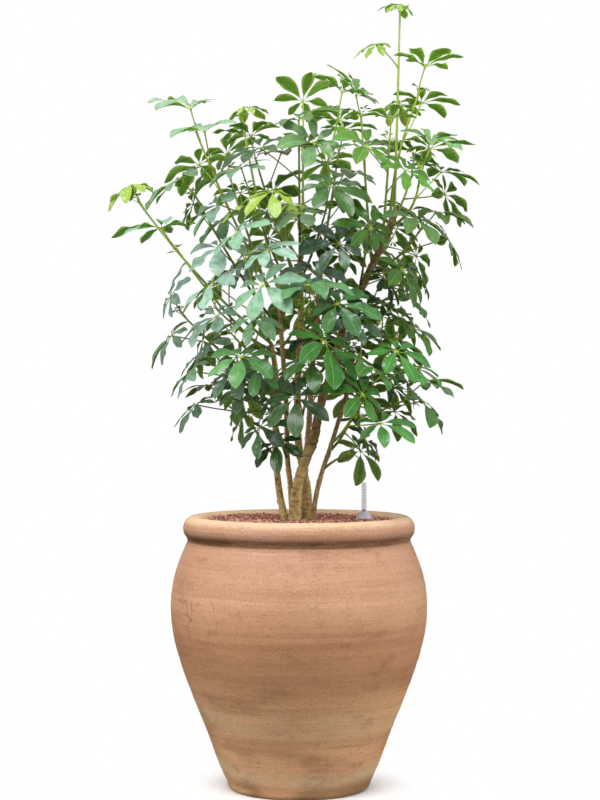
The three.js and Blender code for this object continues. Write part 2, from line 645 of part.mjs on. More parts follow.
// The leaf in one solid: arched leaflets that share the corners of a low cone, and the stalk under it.
const NEAREST = [0, 0, 1, 1, 1, 2, 2]; // the stalk's corner that each hub corner is joined to
function leafSolid({ hub, normal, side, leaflets, stalk }) {
  const half = BLADE / 2;
  const positions = [];
  const triangles = [];
  const put = (point, lift = 0) => {
    positions.push(...point.clone().addScaledVector(normal, lift).toArray());
    return positions.length / 3 - 1;
  };
  const peak = put(hub, HUB_PEAK);
  const corner = leaflets.map(({ out, width }) => {
    const between = out.clone().addScaledVector(width, -Math.tan(Math.PI / LEAFLETS)).normalize();
    const point = hub.clone().addScaledVector(between, HUB_RADIUS);
    return [put(point, half), put(point, -half)];
  });
  const [root] = stalk;
  const underside = hub.clone().addScaledVector(normal, -HUB_DEPTH);
  const upper = stalkCorners(underside, normal, side, STALK_RADIUS).map((p) => put(p));
  const forward = hub.clone().sub(root).normalize();
  const lower = stalkCorners(root, forward, side, STALK_RADIUS).map((p) => put(p));
  for (let k = 0; k < 3; k++) {
    const next = (k + 1) % 3;
    triangles.push(lower[k], lower[next], upper[next], lower[k], upper[next], upper[k]);
  }
  triangles.push(lower[0], lower[2], lower[1]);

  for (let i = 0; i < LEAFLETS; i++) {
    const next = (i + 1) % LEAFLETS;
    const [lt, lb] = corner[i];
    const [rt, rb] = corner[next];
    const [near, after] = [upper[NEAREST[i]], upper[NEAREST[next]]];
    triangles.push(peak, lt, rt, rb, lb, near);
    if (near !== after) triangles.push(rb, near, after);
    const { left, right, tip } = leaflets[i];
    const [wl, wr, end] = [left, right, tip].map((p) => put(p));
    const rib = put(left.clone().lerp(right, 0.5), BLADE);
    triangles.push(lt, wl, rib, lt, rib, rt, rt, rib, wr, wl, end, rib, rib, end, wr);
    triangles.push(lb, rb, wr, lb, wr, wl, wl, wr, end);
    triangles.push(lt, lb, wl, rt, wr, rb);
  }
  return solid(positions, triangles);
}

function shootSolid(shoot) {
  const parts = [tube(shoot.line, shoot.radii, 4), ...shoot.grown.map(leafSolid)];
  return wasm.Manifold.union(parts).subtract(stemTube(shoot.stem, 0.3));
}

// ---------- The plant, grown in order ----------
for (const name of Object.keys(STEMS)) addTube(stemLines[name].points, stemLines[name].radii, name);
const shoots = SHOOTS.map(growShoot);
for (let k = 0; k < 4; k++) for (const shoot of shoots) if (k < shoot.leaves) growLeaf(shoot, k);

const group = new THREE.Group();
function add(name, geometry, material) {
  const mesh = new THREE.Mesh(geometry, material);
  mesh.name = name;
  group.add(mesh);
  return mesh;
}

add("pot", makePot(), TERRACOTTA);
const holeRadius = GAUGE_BODY_RADIUS + 0.5;
const holeBottom = GAUGE_FOOT - 1;
const holeHeight = SOIL_TOP + 20 - holeBottom;
const gaugeHole = new THREE.CylinderGeometry(holeRadius, holeRadius, holeHeight, GAUGE_SIDES)
  .rotateX(Math.PI / 2)
  .translate(GAUGE.x, GAUGE.y, holeBottom + holeHeight / 2);
let granulate = makeGranulate().subtract(solidOf(gaugeHole));
for (const name of Object.keys(STEMS)) granulate = granulate.subtract(stemTube(name, GAP));
add("clay_granulate", geometryOf(granulate), GRANULATE);
for (const [name, geometry, material] of [
  ["gauge_body", makeGaugeBody(), GREY_PLASTIC],
  ["gauge_tube", makeGaugeTube(), CLEAR_PLASTIC],
  ["gauge_float", makeGaugeFloat(), RED_PLASTIC],
])
  add(name, geometry, material).position.set(GAUGE.x, GAUGE.y, 0);
for (const name of Object.keys(STEMS)) add("stem_" + name, geometryOf(stemTube(name, 0)), BARK);
for (const shoot of shoots) add(shoot.name, geometryOf(shootSolid(shoot)), TONES[shoot.tone]);

export default group;
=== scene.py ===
"""The looks of a potted umbrella plant (Schefflera) in a bellied terracotta pot of clay granulate.

Every surface is worked out with numpy in millimetres, on grids or as profiles carried along paths,
and becomes a mesh in metres. The plant grows by the same seeded rule as the part's own solids, so
each leaf of the render lies where its solid is. +X is to the viewer's right, -Y towards the viewer
and +Z up. The origin is the centre of the pot's flat underside.
"""

import math

import bpy
import numpy as np
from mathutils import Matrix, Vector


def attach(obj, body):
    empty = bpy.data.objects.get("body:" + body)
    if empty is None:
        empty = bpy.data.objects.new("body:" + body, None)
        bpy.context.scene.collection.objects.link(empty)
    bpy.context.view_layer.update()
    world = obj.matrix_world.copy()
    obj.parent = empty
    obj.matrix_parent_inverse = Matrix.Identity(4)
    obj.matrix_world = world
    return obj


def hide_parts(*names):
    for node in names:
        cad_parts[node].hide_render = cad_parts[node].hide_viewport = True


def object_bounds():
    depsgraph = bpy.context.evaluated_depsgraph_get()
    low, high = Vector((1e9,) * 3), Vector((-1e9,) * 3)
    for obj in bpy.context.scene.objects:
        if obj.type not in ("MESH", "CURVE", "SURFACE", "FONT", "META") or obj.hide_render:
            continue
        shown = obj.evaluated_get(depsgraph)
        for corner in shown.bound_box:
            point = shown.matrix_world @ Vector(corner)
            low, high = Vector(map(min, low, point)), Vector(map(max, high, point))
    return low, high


MM = 0.001
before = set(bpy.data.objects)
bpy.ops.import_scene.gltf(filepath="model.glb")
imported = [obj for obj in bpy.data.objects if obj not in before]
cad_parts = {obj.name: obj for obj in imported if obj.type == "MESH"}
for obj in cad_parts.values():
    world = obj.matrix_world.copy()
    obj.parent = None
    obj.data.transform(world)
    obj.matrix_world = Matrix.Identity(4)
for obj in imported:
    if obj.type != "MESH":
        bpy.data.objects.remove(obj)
solid_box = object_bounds()

# ---------- Dimensions, as in the part ----------
WALL = 20
FLOOR = 24
FLOOR_EDGE = 12  # the fillet between floor and wall
FOOT_RADIUS = 126
FOOT_ROUND = 14
POT_OUTSIDE = np.array(
    [(140, 14), (157, 50), (180, 113), (205, 175), (228, 237),
     (245, 300), (250, 355), (244, 409), (228, 457), (217, 482)],
    float,
)
BEAD_RADIUS, BEAD_HEIGHT, BEAD_ACROSS, BEAD_UP = 206, 506, 20, 23
SOIL_TOP = 520
SOIL_RADIUS = 184  # the granulate's reach under the rim

GAUGE = np.array([127.0, 10.0, 0.0])
GAUGE_FOOT = 36
GAUGE_BODY_RADIUS = 7
COLLAR_RADIUS = 16
COLLAR_TOP = 537
TUBE_TOP = 594
TUBE_RADIUS = 5.2
TUBE_BORE = 3.6
FLOAT_TIP = 541
MARK_HEIGHTS = 580, 557
MARK_TALL = 2.8
MARK_FACING = 262  # degrees from +X

BURIED = 70
# Woody stems: radius at the foot and at the top, then the points that each one passes through.
STEMS = {
    "left": [7.5, 5, (-27, 2, 517), (-38, 1, 576), (-45, -4, 635), (-46, -8, 732), (-45, -10, 800),
             (-54, -14, 868)],
    "inner": [6, 4.5, (-12, 22, 517), (-17, 25, 586), (-23, 27, 640), (-24, 30, 711), (-27, 34, 780),
              (-35, 40, 888), (-39, 46, 967)],
    "main": [12, 6.5, (-9, -13, 517), (-4, -13, 581), (10, -11, 631), (27, -7, 671), (41, 0, 741),
             (68, 8, 819), (92, 14, 913), (123, 10, 975), (146, 4, 1024), (167, 0, 1068), (189, -4, 1126)],
    "centre": [9.5, 5.5, (16, 7, 517), (17, 11, 575), (9, 18, 614), (-1, 26, 672), (-3, 32, 750),
               (0, 37, 848), (4, 40, 937), (2, 42, 1021), (8, 42, 1055)],
    "right": [5.5, 4, (25, -11, 517), (36, -12, 582), (46, -14, 619), (58, -18, 654), (79, -24, 722),
              (95, -30, 775), (118, -36, 844)],
    "back": [7, 4.5, (10, 38, 517), (12, 54, 612), (20, 76, 710), (28, 102, 829), (38, 130, 949),
             (46, 150, 1051)],
}
# Leafy shoots: stem and height on it, tip, leaves, direction of the leaf below the tip in degrees,
# leaflet length and tone.
SHOOTS = [
    ("shoot_top_leader", "main", 1114, (196, 0, 1502), 3, 215, 50, "young"),
    ("shoot_top_right", "main", 1090, (232, -34, 1200), 3, 285, 84, "fresh"),
    ("shoot_top_right_back", "main", 1075, (225, 110, 1200), 2, 30, 78, "mature"),
    ("shoot_upper_right_front", "main", 1056, (172, -90, 1240), 3, 210, 78, "fresh"),
    ("shoot_upper_right_high", "main", 1016, (122, 30, 1306), 3, 150, 78, "fresh"),
    ("shoot_upper_middle", "centre", 1028, (76, -25, 1302), 2, 240, 82, "fresh"),
    ("shoot_upper_middle_left", "centre", 1006, (0, -45, 1244), 3, 200, 82, "mature"),
    ("shoot_upper_middle_high", "centre", 1053, (8, 80, 1304), 2, 60, 76, "fresh"),
    ("shoot_upper_centre_back", "back", 1040, (80, 180, 1255), 3, 100, 78, "mature"),
    ("shoot_left_top", "inner", 940, (-196, -40, 1266), 4, 290, 88, "fresh"),
    ("shoot_left_top_tall", "inner", 963, (-112, 50, 1306), 1, 0, 54, "young"),
    ("shoot_left_top_back", "inner", 915, (-140, 130, 1205), 3, 100, 76, "mature"),
    ("shoot_left_upper", "inner", 890, (-198, -30, 1146), 3, 120, 82, "mature"),
    ("shoot_middle_left_upper", "centre", 974, (-84, 0, 1222), 3, 10, 80, "mature"),
    ("shoot_centre_lime", "centre", 950, (-42, -115, 1110), 2, 30, 76, "young"),
    ("shoot_centre_upper_front", "centre", 988, (52, -100, 1118), 3, 200, 80, "mature"),
    ("shoot_front_left_pale", "left", 855, (-98, -125, 1015), 2, 300, 94, "fresh"),
    ("shoot_left_pale", "left", 835, (-228, -80, 1036), 1, 0, 100, "fresh"),
    ("shoot_far_left", "left", 864, (-306, -40, 1132), 1, 0, 76, "young"),
    ("shoot_left_middle_pale", "left", 815, (-120, -80, 872), 2, 290, 88, "fresh"),
    ("shoot_front_centre_pale", "inner", 860, (8, -150, 930), 2, 300, 94, "fresh"),
    ("shoot_left_middle", "left", 775, (-226, 0, 920), 2, 210, 70, "mature"),
    ("shoot_left_middle_back", "inner", 840, (-165, 120, 935), 2, 150, 76, "mature"),
    ("shoot_left_low", "left", 728, (-150, -48, 826), 3, 200, 70, "mature"),
    ("shoot_left_lower", "left", 690, (-146, 15, 750), 3, 230, 68, "mature"),
    ("shoot_left_low_back", "inner", 725, (-110, 130, 800), 3, 80, 74, "mature"),
    ("shoot_left_bottom", "left", 645, (-94, -50, 718), 2, 320, 64, "mature"),
    ("shoot_front_low", "centre", 690, (20, -130, 800), 2, 230, 80, "mature"),
    ("shoot_front_low_left", "inner", 640, (-45, -85, 722), 2, 250, 64, "mature"),
    ("shoot_front_right_bright", "right", 672, (104, -135, 732), 2, 330, 76, "fresh"),
    ("shoot_right_low_front", "right", 745, (165, -100, 812), 2, 190, 80, "fresh"),
    ("shoot_right_low", "right", 715, (208, -10, 756), 3, 320, 76, "mature"),
    ("shoot_right_bottom", "right", 618, (92, -30, 650), 1, 0, 68, "mature"),
    ("shoot_right_bottom_back", "right", 655, (105, 95, 715), 2, 60, 74, "mature"),
    ("shoot_right_middle", "main", 830, (182, -20, 866), 2, 30, 74, "mature"),
    ("shoot_right_middle_front", "main", 800, (94, -115, 862), 1, 0, 80, "mature"),
    ("shoot_right_outer", "main", 925, (198, 20, 972), 2, 320, 72, "mature"),
    ("shoot_right_middle_back", "main", 870, (160, 140, 905), 2, 60, 76, "mature"),
    ("shoot_right_upper", "main", 1000, (232, -35, 1080), 3, 250, 76, "mature"),
    ("shoot_right_upper_front", "main", 960, (125, -120, 1035), 3, 190, 80, "mature"),
    ("shoot_right_upper_back", "main", 1036, (182, 130, 1072), 3, 40, 76, "mature"),
    ("shoot_back_middle", "back", 900, (40, 225, 935), 3, 150, 76, "mature"),
    ("shoot_back_low", "back", 720, (25, 185, 785), 2, 30, 74, "mature"),
    ("shoot_back_upper", "back", 1000, (-45, 215, 1100), 3, 120, 76, "mature"),
    ("shoot_right_low_back", "right", 790, (170, 90, 820), 2, 90, 74, "mature"),
    ("shoot_middle_front", "centre", 880, (75, -75, 985), 2, 240, 80, "mature"),
    ("shoot_left_middle_high", "centre", 930, (-96, -60, 1155), 3, 180, 80, "mature"),
    ("shoot_top_leader_side", "main", 1094, (230, -40, 1342), 2, 120, 88, "fresh"),
]
SHOOT_RADIUS = (3.4, 2.0)
STALK_RADIUS = 1.4
TIP_STALK = 0.7  # the uppermost leaf's stalk, as a share of the leaflet length
SIDE_STALK = 1.15  # the other leaves' stalks
SHOOT_STEPS = 4
LEAFLETS = 7
HUB_RADIUS = 4.2
HALF_WIDTH = 0.205
WIDEST = 0.58  # where along a leaflet it is widest
LARGEST = 1.13
FRONT_LONGER = 0.22
DROOP = {"young": 0.3, "fresh": -0.1, "mature": 0.02}
RAISED = 0.32
GOLDEN_TURN = math.radians(137.5)
PLANT_AXIS = np.array([30.0, 25.0])
TRIES = 60
ROUNDS = 4  # the most leaves that a shoot has in the solids
REST = 2  # further leaves on each of the crown's inner shoots, which the solids leave out
CLEAR_FACE = 1.7
CLEAR_EDGE = 1.5
CLEAR_TUBE = 5

UP = np.array([0.0, 0.0, 1.0])


# ---------- Camera, floor and light ----------
def add_camera():
    """The photograph's camera: 4 m in front of the pot's axis, 0.8 m up, tipped a little down."""
    data = bpy.data.cameras.new("camera")
    data.lens = 92.52
    data.sensor_width = 36
    camera = bpy.data.objects.new("camera", data)
    camera.location = (0.002, -4.0, 0.80)
    camera.rotation_euler = (math.radians(90 - 0.655), 0, 0)
    bpy.context.scene.collection.objects.link(camera)
    bpy.context.scene.camera = camera


def add_softbox(name, place, target, size, power):
    """A square lamp at a place, turned towards a target."""
    data = bpy.data.lights.new(name, "AREA")
    data.shape = "SQUARE"
    data.size = size
    data.energy = power
    lamp = bpy.data.objects.new(name, data)
    lamp.location = place
    x, y, z = np.subtract(place, target)
    lamp.rotation_euler = (math.atan2(math.hypot(x, y), z), 0, math.atan2(x, -y))
    bpy.context.scene.collection.objects.link(lamp)


# ---------- Small maths ----------
def unit(v):
    """Vectors divided by their lengths."""
    return v / np.linalg.norm(v, axis=-1, keepdims=True)


def smoothstep(x, low, high):
    """0 below low, 1 above high and 3t² - 2t³ between."""
    t = np.clip((x - low) / (high - low), 0, 1)
    return t * t * (3 - 2 * t)


def ripple(along, turn, cells, seed):
    """Smooth noise from -1 to 1: seeded values on a lattice, blended by 3t² - 2t³.

    along counts the lattice's cells along a piece. turn goes from 0 to 1 round it, where the lattice
    of that many cells closes on itself.
    """
    along, turn = np.broadcast_arrays(along, turn)
    values = np.random.default_rng(seed).uniform(-1, 1, (int(along.max()) + 3, cells))
    row = np.floor(along).astype(int)
    column = np.floor(turn * cells).astype(int)
    s = smoothstep(along - row, 0, 1)
    t = smoothstep(turn * cells - column, 0, 1)
    here, there = column % cells, (column + 1) % cells
    low = values[row, here] * (1 - t) + values[row, there] * t
    high = values[row + 1, here] * (1 - t) + values[row + 1, there] * t
    return low * (1 - s) + high * s


def catmull(points, t, centripetal):
    """Points on a Catmull-Rom spline at t from 0 to 1, as cubic Hermite spans between the points.

    The ends are reached by a point mirrored beyond each (centripetal) or repeated (uniform).
    """
    last = len(points) - 1
    if centripetal:
        ends = 2 * points[0] - points[1], 2 * points[-1] - points[-2]
    else:
        ends = points[0], points[-1]
    p = np.vstack([ends[0], points, ends[1]])
    span = np.minimum(np.floor(np.asarray(t) * last).astype(int), last - 1)
    w = (np.asarray(t) * last - span)[:, None]
    a, b, c, d = (p[span + k] for k in range(4))
    if centripetal:
        ab, bc, cd = (((q - r) ** 2).sum(1)[:, None] ** 0.25 for q, r in ((a, b), (b, c), (c, d)))
        leave = ((b - a) / ab - (c - a) / (ab + bc) + (c - b) / bc) * bc
        arrive = ((c - b) / bc - (d - b) / (bc + cd) + (d - c) / cd) * bc
    else:
        leave, arrive = (c - a) / 2, (d - b) / 2
    return (
        b
        + leave * w
        + (-3 * b + 3 * c - 2 * leave - arrive) * w**2
        + (2 * b - 2 * c + leave + arrive) * w**3
    )


# ---------- Surfaces ----------
class Surface:
    """Points in millimetres, faces of three or four corners, and what the finishes read at each point.

    marks holds three numbers a point, uv two, and look the number of each face's material.
    """

    def __init__(self, points, faces, marks=(0, 0, 0), uv=(0, 0), look=0):
        self.points = np.asarray(points, float).reshape(-1, 3)
        count = len(self.points)
        self.faces = [np.asarray(f, int) for f in faces if len(f)]
        self.marks = np.broadcast_to(np.asarray(marks, float), (count, 3))
        self.uv = np.broadcast_to(np.asarray(uv, float), (count, 2))
        self.looks = [np.full(len(f), look) for f in self.faces]


def joined(surfaces):
    """Several surfaces as one: their points in a row, with each one's corner numbers moved on."""
    made = Surface(np.vstack([s.points for s in surfaces]), [])
    made.marks = np.vstack([s.marks for s in surfaces])
    made.uv = np.vstack([s.uv for s in surfaces])
    first = 0
    for s in surfaces:
        made.faces += [f + first for f in s.faces]
        made.looks += s.looks
        first += len(s.points)
    return made


def net(rows, columns, wrap):
    """The quads of a grid of points, row after row. With wrap, the last column joins the first."""
    r = np.arange(rows - 1)[:, None] * columns
    c = np.arange(columns if wrap else columns - 1)[None, :]
    d = (c + 1) % columns
    return np.stack([r + c, r + d, r + d + columns, r + c + columns], -1).reshape(-1, 4)


def fan(ring, pole, outwards):
    """Triangles between a ring of corner numbers and a pole."""
    after = np.roll(ring, -1)
    poles = np.full(len(ring), pole)
    return np.stack([ring, after, poles] if outwards else [after, ring, poles], -1)


def lathe(profile, sides, dent=None):
    """A profile of (radius, height) turned about Z, from a pole on the axis to another on the axis.

    The points are (r cos a, r sin a, z). dent(profile index, turn) is added to the radius.
    """
    profile = np.asarray(profile, float)
    turn = np.arange(sides) / sides
    inner = profile[1:-1]
    radius = np.repeat(inner[:, :1], sides, 1)
    if dent is not None:
        radius = radius + dent(inner, turn[None, :])
    angle = 2 * math.pi * turn[None, :]
    height = np.repeat(inner[:, 1:], sides, 1)
    grid = np.stack([radius * np.cos(angle), radius * np.sin(angle), height], -1).reshape(-1, 3)
    points = np.vstack([grid, [0, 0, profile[0, 1]], [0, 0, profile[-1, 1]]])
    count = len(grid)
    first = fan(np.arange(sides), count, False)
    last = fan(np.arange(count - sides, count), count + 1, True)
    return Surface(points, [net(len(inner), sides, True), first, last])


def ring_lathe(profile, sides):
    """A closed profile of (radius, height), anticlockwise with the radius to the right, turned about Z."""
    profile = np.asarray(profile, float)
    angle = 2 * math.pi * np.arange(sides) / sides
    radius, height = profile[:, :1], np.repeat(profile[:, 1:], sides, 1)
    points = np.stack([radius * np.cos(angle), radius * np.sin(angle), height], -1).reshape(-1, 3)
    quads = net(len(profile), sides, True)
    k = np.arange(sides)
    top = (len(profile) - 1) * sides
    close = np.stack([top + k, top + (k + 1) % sides, (k + 1) % sides, k], -1)
    return Surface(points, [quads, close])


def carried(path):
    """Two unit vectors across a path at each of its points, turned along it without twisting."""
    forward = unit(np.gradient(path, axis=0))
    across = np.empty_like(path)
    start = np.array([1.0, 0, 0]) if abs(forward[0, 0]) < 0.9 else UP
    for i, f in enumerate(forward):
        start = start - f * (start @ f)
        start = start / np.linalg.norm(start)
        across[i] = start
    return across, np.cross(forward, across)


def sweep(path, radii, sides, marks=(0, 0, 0), look=0, dent=None):
    """A circle carried along a path: centre + r (across cos a + beside sin a), closed by two poles.

    dent(turn) gives each ring's radii as a factor.
    """
    path = np.asarray(path, float)
    across, beside = carried(path)
    turn = np.arange(sides) / sides
    angle = 2 * math.pi * turn[None, :, None]
    radius = np.repeat(np.asarray(radii, float)[:, None], sides, 1)
    if dent is not None:
        radius = radius * dent(turn[None, :])
    ring = across[:, None] * np.cos(angle) + beside[:, None] * np.sin(angle)
    grid = path[:, None] + ring * radius[..., None]
    count = len(path) * sides
    points = np.vstack([grid.reshape(-1, 3), path[0], path[-1]])
    first = fan(np.arange(sides), count, False)
    last = fan(np.arange(count - sides, count), count + 1, True)
    if np.ndim(marks) == 2:
        marks = np.vstack([np.repeat(marks, sides, 0), marks[0], marks[-1]])
    return Surface(points, [net(len(path), sides, True), first, last], marks=marks, look=look)


def add_piece(name, surface, finishes, body="planted_pot", stands_for=(), crease=50):
    """A mesh object of a surface, smooth but for edges sharper than crease degrees."""
    mesh = bpy.data.meshes.new(name)
    corners = np.concatenate([f.ravel() for f in surface.faces])
    sizes = np.concatenate([np.full(len(f), f.shape[1]) for f in surface.faces])
    mesh.vertices.add(len(surface.points))
    mesh.vertices.foreach_set("co", (surface.points * MM).ravel())
    mesh.loops.add(len(corners))
    mesh.loops.foreach_set("vertex_index", corners)
    mesh.polygons.add(len(sizes))
    mesh.polygons.foreach_set("loop_start", np.concatenate([[0], np.cumsum(sizes)[:-1]]))
    mesh.polygons.foreach_set("material_index", np.concatenate(surface.looks))
    mesh.update(calc_edges=True)
    mesh.validate()
    mesh.shade_smooth()
    mesh.set_sharp_from_angle(angle=math.radians(crease))
    marks = mesh.attributes.new("marks", "FLOAT_VECTOR", "POINT")
    marks.data.foreach_set("vector", surface.marks.ravel())
    kept = np.empty(len(mesh.loops), int)
    mesh.loops.foreach_get("vertex_index", kept)
    mesh.uv_layers.new(name="blade").data.foreach_set("uv", surface.uv[kept].ravel())
    for finish in finishes:
        mesh.materials.append(finish)
    made = bpy.data.objects.new(name, mesh)
    bpy.context.scene.collection.objects.link(made)
    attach(made, body)
    if stands_for:
        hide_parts(*stands_for)
    return made


# ---------- Finishes ----------
def shade(red, green, blue):
    """A colour of 0 to 255 as light values, by the sRGB curve."""
    c = np.array([red, green, blue]) / 255
    linear = np.where(c <= 0.04045, c / 12.92, ((c + 0.055) / 1.055) ** 2.4)
    return (*(float(x) for x in linear), 1.0)


class Finish:
    """A material on the Principled shader. Each call adds a node and gives its output."""

    def __init__(self, name, **sockets):
        self.material = bpy.data.materials.new(name)
        self.material.use_nodes = True
        self.tree = self.material.node_tree
        self.shader = self.tree.nodes["Principled BSDF"]
        for socket, value in sockets.items():
            self.shader.inputs[socket.replace("_", " ")].default_value = value

    def put(self, socket, value):
        """Plugs a value into a socket, as a link or a number."""
        if isinstance(value, bpy.types.NodeSocket):
            self.tree.links.new(value, socket)
        else:
            socket.default_value = value

    def node(self, kind, **settings):
        made = self.tree.nodes.new(kind)
        for key, value in settings.items():
            setattr(made, key, value)
        return made

    def place(self):
        return self.node("ShaderNodeTexCoord").outputs["Object"]

    def marks(self):
        """The three numbers of each point: x, y and z outputs."""
        attribute = self.node("ShaderNodeAttribute", attribute_name="marks")
        split = self.node("ShaderNodeSeparateXYZ")
        self.put(split.inputs[0], attribute.outputs["Vector"])
        return split.outputs

    def split(self, vector):
        made = self.node("ShaderNodeSeparateXYZ")
        self.put(made.inputs[0], vector)
        return made.outputs

    def stretched(self, vector, scale):
        made = self.node("ShaderNodeMapping")
        self.put(made.inputs["Vector"], vector)
        made.inputs["Scale"].default_value = scale
        return made.outputs[0]

    def noise(self, vector, scale, detail=2.0, rough=0.5, output="Fac"):
        made = self.node("ShaderNodeTexNoise")
        self.put(made.inputs["Vector"], vector)
        made.inputs["Scale"].default_value = scale
        made.inputs["Detail"].default_value = detail
        made.inputs["Roughness"].default_value = rough
        return made.outputs[output]

    def drawn_noise(self, vector, scales, detail, rough):
        """Noise with a scale of its own along each axis."""
        return self.noise(self.stretched(vector, scales), 1.0, detail, rough)

    def cells(self, vector, scale, output="Distance", feature="F1"):
        made = self.node("ShaderNodeTexVoronoi", feature=feature)
        self.put(made.inputs["Vector"], vector)
        made.inputs["Scale"].default_value = scale
        return made.outputs[output]

    def maths(self, operation, *values):
        made = self.node("ShaderNodeMath", operation=operation)
        for socket, value in zip(made.inputs, values):
            self.put(socket, value)
        return made.outputs[0]

    def vector_maths(self, operation, *values, output="Vector"):
        made = self.node("ShaderNodeVectorMath", operation=operation)
        for socket, value in zip(made.inputs, values):
            self.put(socket, value)
        return made.outputs[output]

    def times(self, a, b):
        return self.maths("MULTIPLY", a, b)

    def between(self, value, low, high, start=0.0, end=1.0):
        """A value from low to high as start to end, smoothly and without going beyond."""
        made = self.node("ShaderNodeMapRange", interpolation_type="SMOOTHSTEP")
        sockets = ("Value", "From Min", "From Max", "To Min", "To Max")
        for socket, number in zip(sockets, (value, low, high, start, end)):
            self.put(made.inputs[socket], number)
        return made.outputs[0]

    def near(self, value, middle, reach):
        """1 where a value is at the middle, and 0 from a reach away."""
        away = self.maths("ABSOLUTE", self.maths("ADD", value, -middle))
        return self.between(away, 0.0, reach, 1.0, 0.0)

    def mix(self, share, a, b):
        """Colour a towards colour b by a share."""
        made = self.node("ShaderNodeMix", data_type="RGBA")
        for i, value in ((0, share), (6, a), (7, b)):
            self.put(made.inputs[i], value)
        return made.outputs[2]

    def tinged(self, colour, value, low, high, most, tone):
        """A colour towards a tone, by 0 where a value is low to the most where it is high."""
        return self.mix(self.between(value, low, high, 0, most), colour, shade(*tone))

    def bump(self, height, strength, distance, under=None):
        made = self.node("ShaderNodeBump")
        made.inputs["Strength"].default_value = strength
        made.inputs["Distance"].default_value = distance
        self.put(made.inputs["Height"], height)
        if under is not None:
            self.put(made.inputs["Normal"], under)
        return made.outputs[0]

    def wear(self, colour=None, roughness=None, normal=None):
        """Plugs the finished colour, roughness and normal into the shader."""
        for key, value in (("Base Color", colour), ("Roughness", roughness), ("Normal", normal)):
            if value is not None:
                self.put(self.shader.inputs[key], value)
        return self.material


